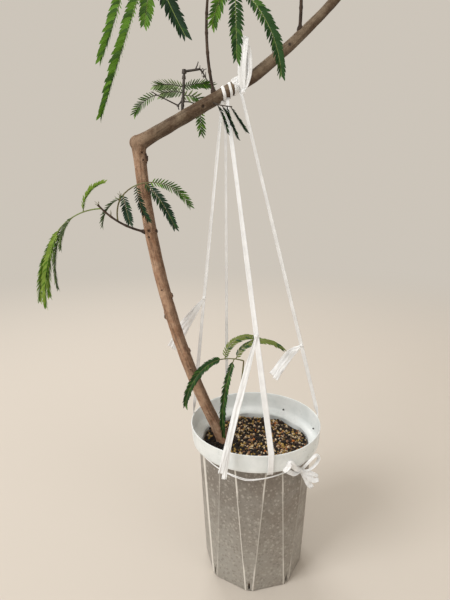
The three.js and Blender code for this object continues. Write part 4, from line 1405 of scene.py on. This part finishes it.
# A strand: its place along the arm, its top, its angle at the rim, and its width above and there.
STRANDS = {
    "left": (0.73, (-0.062, -0.012, 0.840), -104, (0.0048, 0.0062)),
    "back": (0.76, (-0.056, -0.006, 0.840), -154, (0.0045, 0.0058)),
    "front": (0.78, (-0.053, -0.016, 0.836), 8.5, (0.0058, 0.0106)),
    "right": (0.885, (-0.031, -0.012, 0.857), 98, (0.0052, 0.0072)),
}
TO_CAMERA = Vector((0.12, -0.95, 0.28))
RIM_LIFT = 0.0012
TWINE_RADIUS, TWINE_HEIGHT = 0.1066, 0.2515


def strand_points(on_arm, top, angle):
    """From the lashing down over the rim to the twine under the collar."""
    return [
        at(arm_path, on_arm) + Vector((0, -0.006, -arm_radius(on_arm))), Vector(top),
        around(angle, RIM + RIM_LIFT, RIM_TOP + 0.003), around(angle, RIM + RIM_LIFT, RIM_TOP - 0.002),
        around(angle, COLLAR_FOOT + RIM_LIFT, COLLAR_FOOT_TOP - 0.002),
        around(angle, TWINE_RADIUS + 0.002, TWINE_HEIGHT + 0.001),
    ]


for name, (on_arm, top, angle, widths) in STRANDS.items():
    points = strand_points(on_arm, top, angle)
    straight = [points[1].lerp(points[2], i / 60) for i in range(61)]
    path = [points[0]] + straight + [points[2].lerp(points[3], 0.5)] + points[3:]
    flat = around(angle, 1, 0)
    flat = flat if flat.dot(TO_CAMERA) > 0 else -flat

    def facing(t, flat=flat):
        """The tape shows its face in the air and lies flat on the rim."""
        turned = min(max((t - 0.89) / 0.06, 0), 1)
        return TO_CAMERA.lerp(flat, turned * turned * (3 - 2 * turned)).normalized()

    def wide(t, widths=widths):
        """The tape is narrow where it leaves the lashing, and its width wavers a little."""
        return mix(*widths, t) * (0.8 + 0.2 * min(1, t / 0.1)) * (1 + 0.06 * math.sin(19 * t))

    bm = bmesh.new()
    uneven = creases((0.0002, 3, 9, angle))
    sweep(bm, band(path, facing, 110, wide, lambda u, t: 0.0006 * (u * u - 0.5) + uneven(u, t)))
    add_piece("strand_" + name, mesh_from(bm, "strand_" + name), [tape_white], "tape", "tape_strand_" + name)


# Tails: the loose ends below three knots on the strands, crumpled and thin.
# A tail: the knot's place down its strand, and each ribbon's points below the knot, with its
# widths at the knot, below it and at the end.
TAILS = {
    "left": (0.579, [
        ([(-0.134, 0.020, 0.474), (-0.158, 0.030, 0.428)], (0.003, 0.009, 0.014)),
        ([(-0.129, 0.018, 0.468), (-0.150, 0.026, 0.424)], (0.003, 0.009, 0.012))]),
    "front": (0.649, [
        ([(-0.0300, -0.100, 0.402), (-0.0500, -0.122, 0.330), (-0.0645, -0.135, 0.2735)],
         (0.004, 0.0115, 0.0085)),
        ([(-0.0295, -0.101, 0.402), (-0.0485, -0.123, 0.330), (-0.0586, -0.1355, 0.2635)],
         (0.004, 0.0105, 0.0085))]),
    "right": (0.749, [
        ([(0.0583, 0.010, 0.4216), (0.0290, 0.001, 0.3845)], (0.003, 0.0080, 0.0125)),
        ([(0.0600, 0.007, 0.4150), (0.0350, 0.000, 0.3765)], (0.003, 0.0080, 0.0110))]),
}

for name, (t, ribbons) in TAILS.items():
    on_arm, top, angle, _ = STRANDS[name]
    straight = strand_points(on_arm, top, angle)
    knot = straight[1].lerp(straight[2], t)
    bm = bmesh.new()
    for number, (points, (gathered, wide, end)) in enumerate(ribbons):
        flare = lambda s: mix(gathered, mix(wide, end, s), min(1, s / 0.2)) * (1 - 0.08 * math.sin(9 * s))
        crumple = creases((0.0016, 1.9, 5, angle + number), (0.0007, 5, 14, angle + number))
        ribbon(bm, [knot, *points], flare, TO_CAMERA, crumple, 60)
    knot_lump(bm, knot, 0.0030)
    add_piece("tail_" + name, mesh_from(bm, "tail_" + name), [tape_white], "tape", "tape_strand_" + name)


# Twine: a thin white cord drawn round the pot under its collar, slack in front between two
# strands, and tied at the right front in a crumpled bow of film.
SAG_MIDDLE, SAG_HALF, SAG_DROP, SAG_OUT = -11, 42, 0.008, 0.0045


def twine_point(angle, lift):
    """The twine's place at an angle: it sags in a shallow V in front of the neck."""
    off = abs((angle - SAG_MIDDLE + 180) % 360 - 180) / SAG_HALF
    slack = max(0.0, 1 - off)
    return around(angle, TWINE_RADIUS + 0.001 + SAG_OUT * slack, TWINE_HEIGHT - SAG_DROP * slack + lift)


twine_strands = []
for lift, seed in ((0.0, 0), (0.0016, 4)):
    loop = [twine_point(a, lift) + Vector((0, 0, 0.0005 * math.sin(math.radians(a * 7) + seed)))
            for a in range(0, 364, 4)]
    twine_strands.append((loop, [0.0007] * len(loop)))
add_piece("twine_loop", tubes("twine_loop", twine_strands, resolution=2), [tape_white], "tape", "twine_ring")


def twine_bow():
    """A loop, a crumpled wing and three tails of film round a knot, turned to the front."""
    bm = bmesh.new()
    knot = Vector((0.0733, -0.0860, 0.2467))
    facing = Vector((-0.16, -0.82, 0.56))
    ribbons = [
        ([(0.0794, -0.092, 0.2594), (0.0883, -0.092, 0.2709), (0.0976, -0.090, 0.2777),
          (0.1031, -0.086, 0.2689), (0.0972, -0.088, 0.2586), (0.0862, -0.090, 0.2494),
          (0.0745, -0.088, 0.2470)], 0.0055),
        ([(0.0620, -0.1020, 0.2600), (0.0513, -0.1107, 0.2759), (0.0465, -0.1111, 0.2676),
          (0.0400, -0.1118, 0.2605)], 0.0095),
        ([(0.0600, -0.1010, 0.2500), (0.0520, -0.1070, 0.2560), (0.0450, -0.1110, 0.2600)], 0.0080),
        ([(0.0850, -0.090, 0.2378), (0.0939, -0.090, 0.2300), (0.1039, -0.088, 0.2295)], 0.0100),
        ([(0.0817, -0.090, 0.2339), (0.0874, -0.090, 0.2221), (0.0942, -0.088, 0.2138)], 0.0105),
        ([(0.0845, -0.089, 0.2440), (0.0938, -0.088, 0.2403), (0.1030, -0.086, 0.2350)], 0.0080),
    ]
    for number, (points, width) in enumerate(ribbons):
        swell = lambda t: width * (0.45 + 0.55 * math.sin(math.pi * min(1, 0.15 + 0.75 * t)))
        crumple = creases((0.0018, 2.2, 6, number * 4.7), (0.0008, 6, 15, number * 9.1))
        ribbon(bm, [knot, *points], swell, facing, crumple, 36)
    knot_lump(bm, knot, 0.0045)
    return mesh_from(bm, "twine_bow")


add_piece("twine_bow", twine_bow(), [tape_white], "tape", "twine_ring")
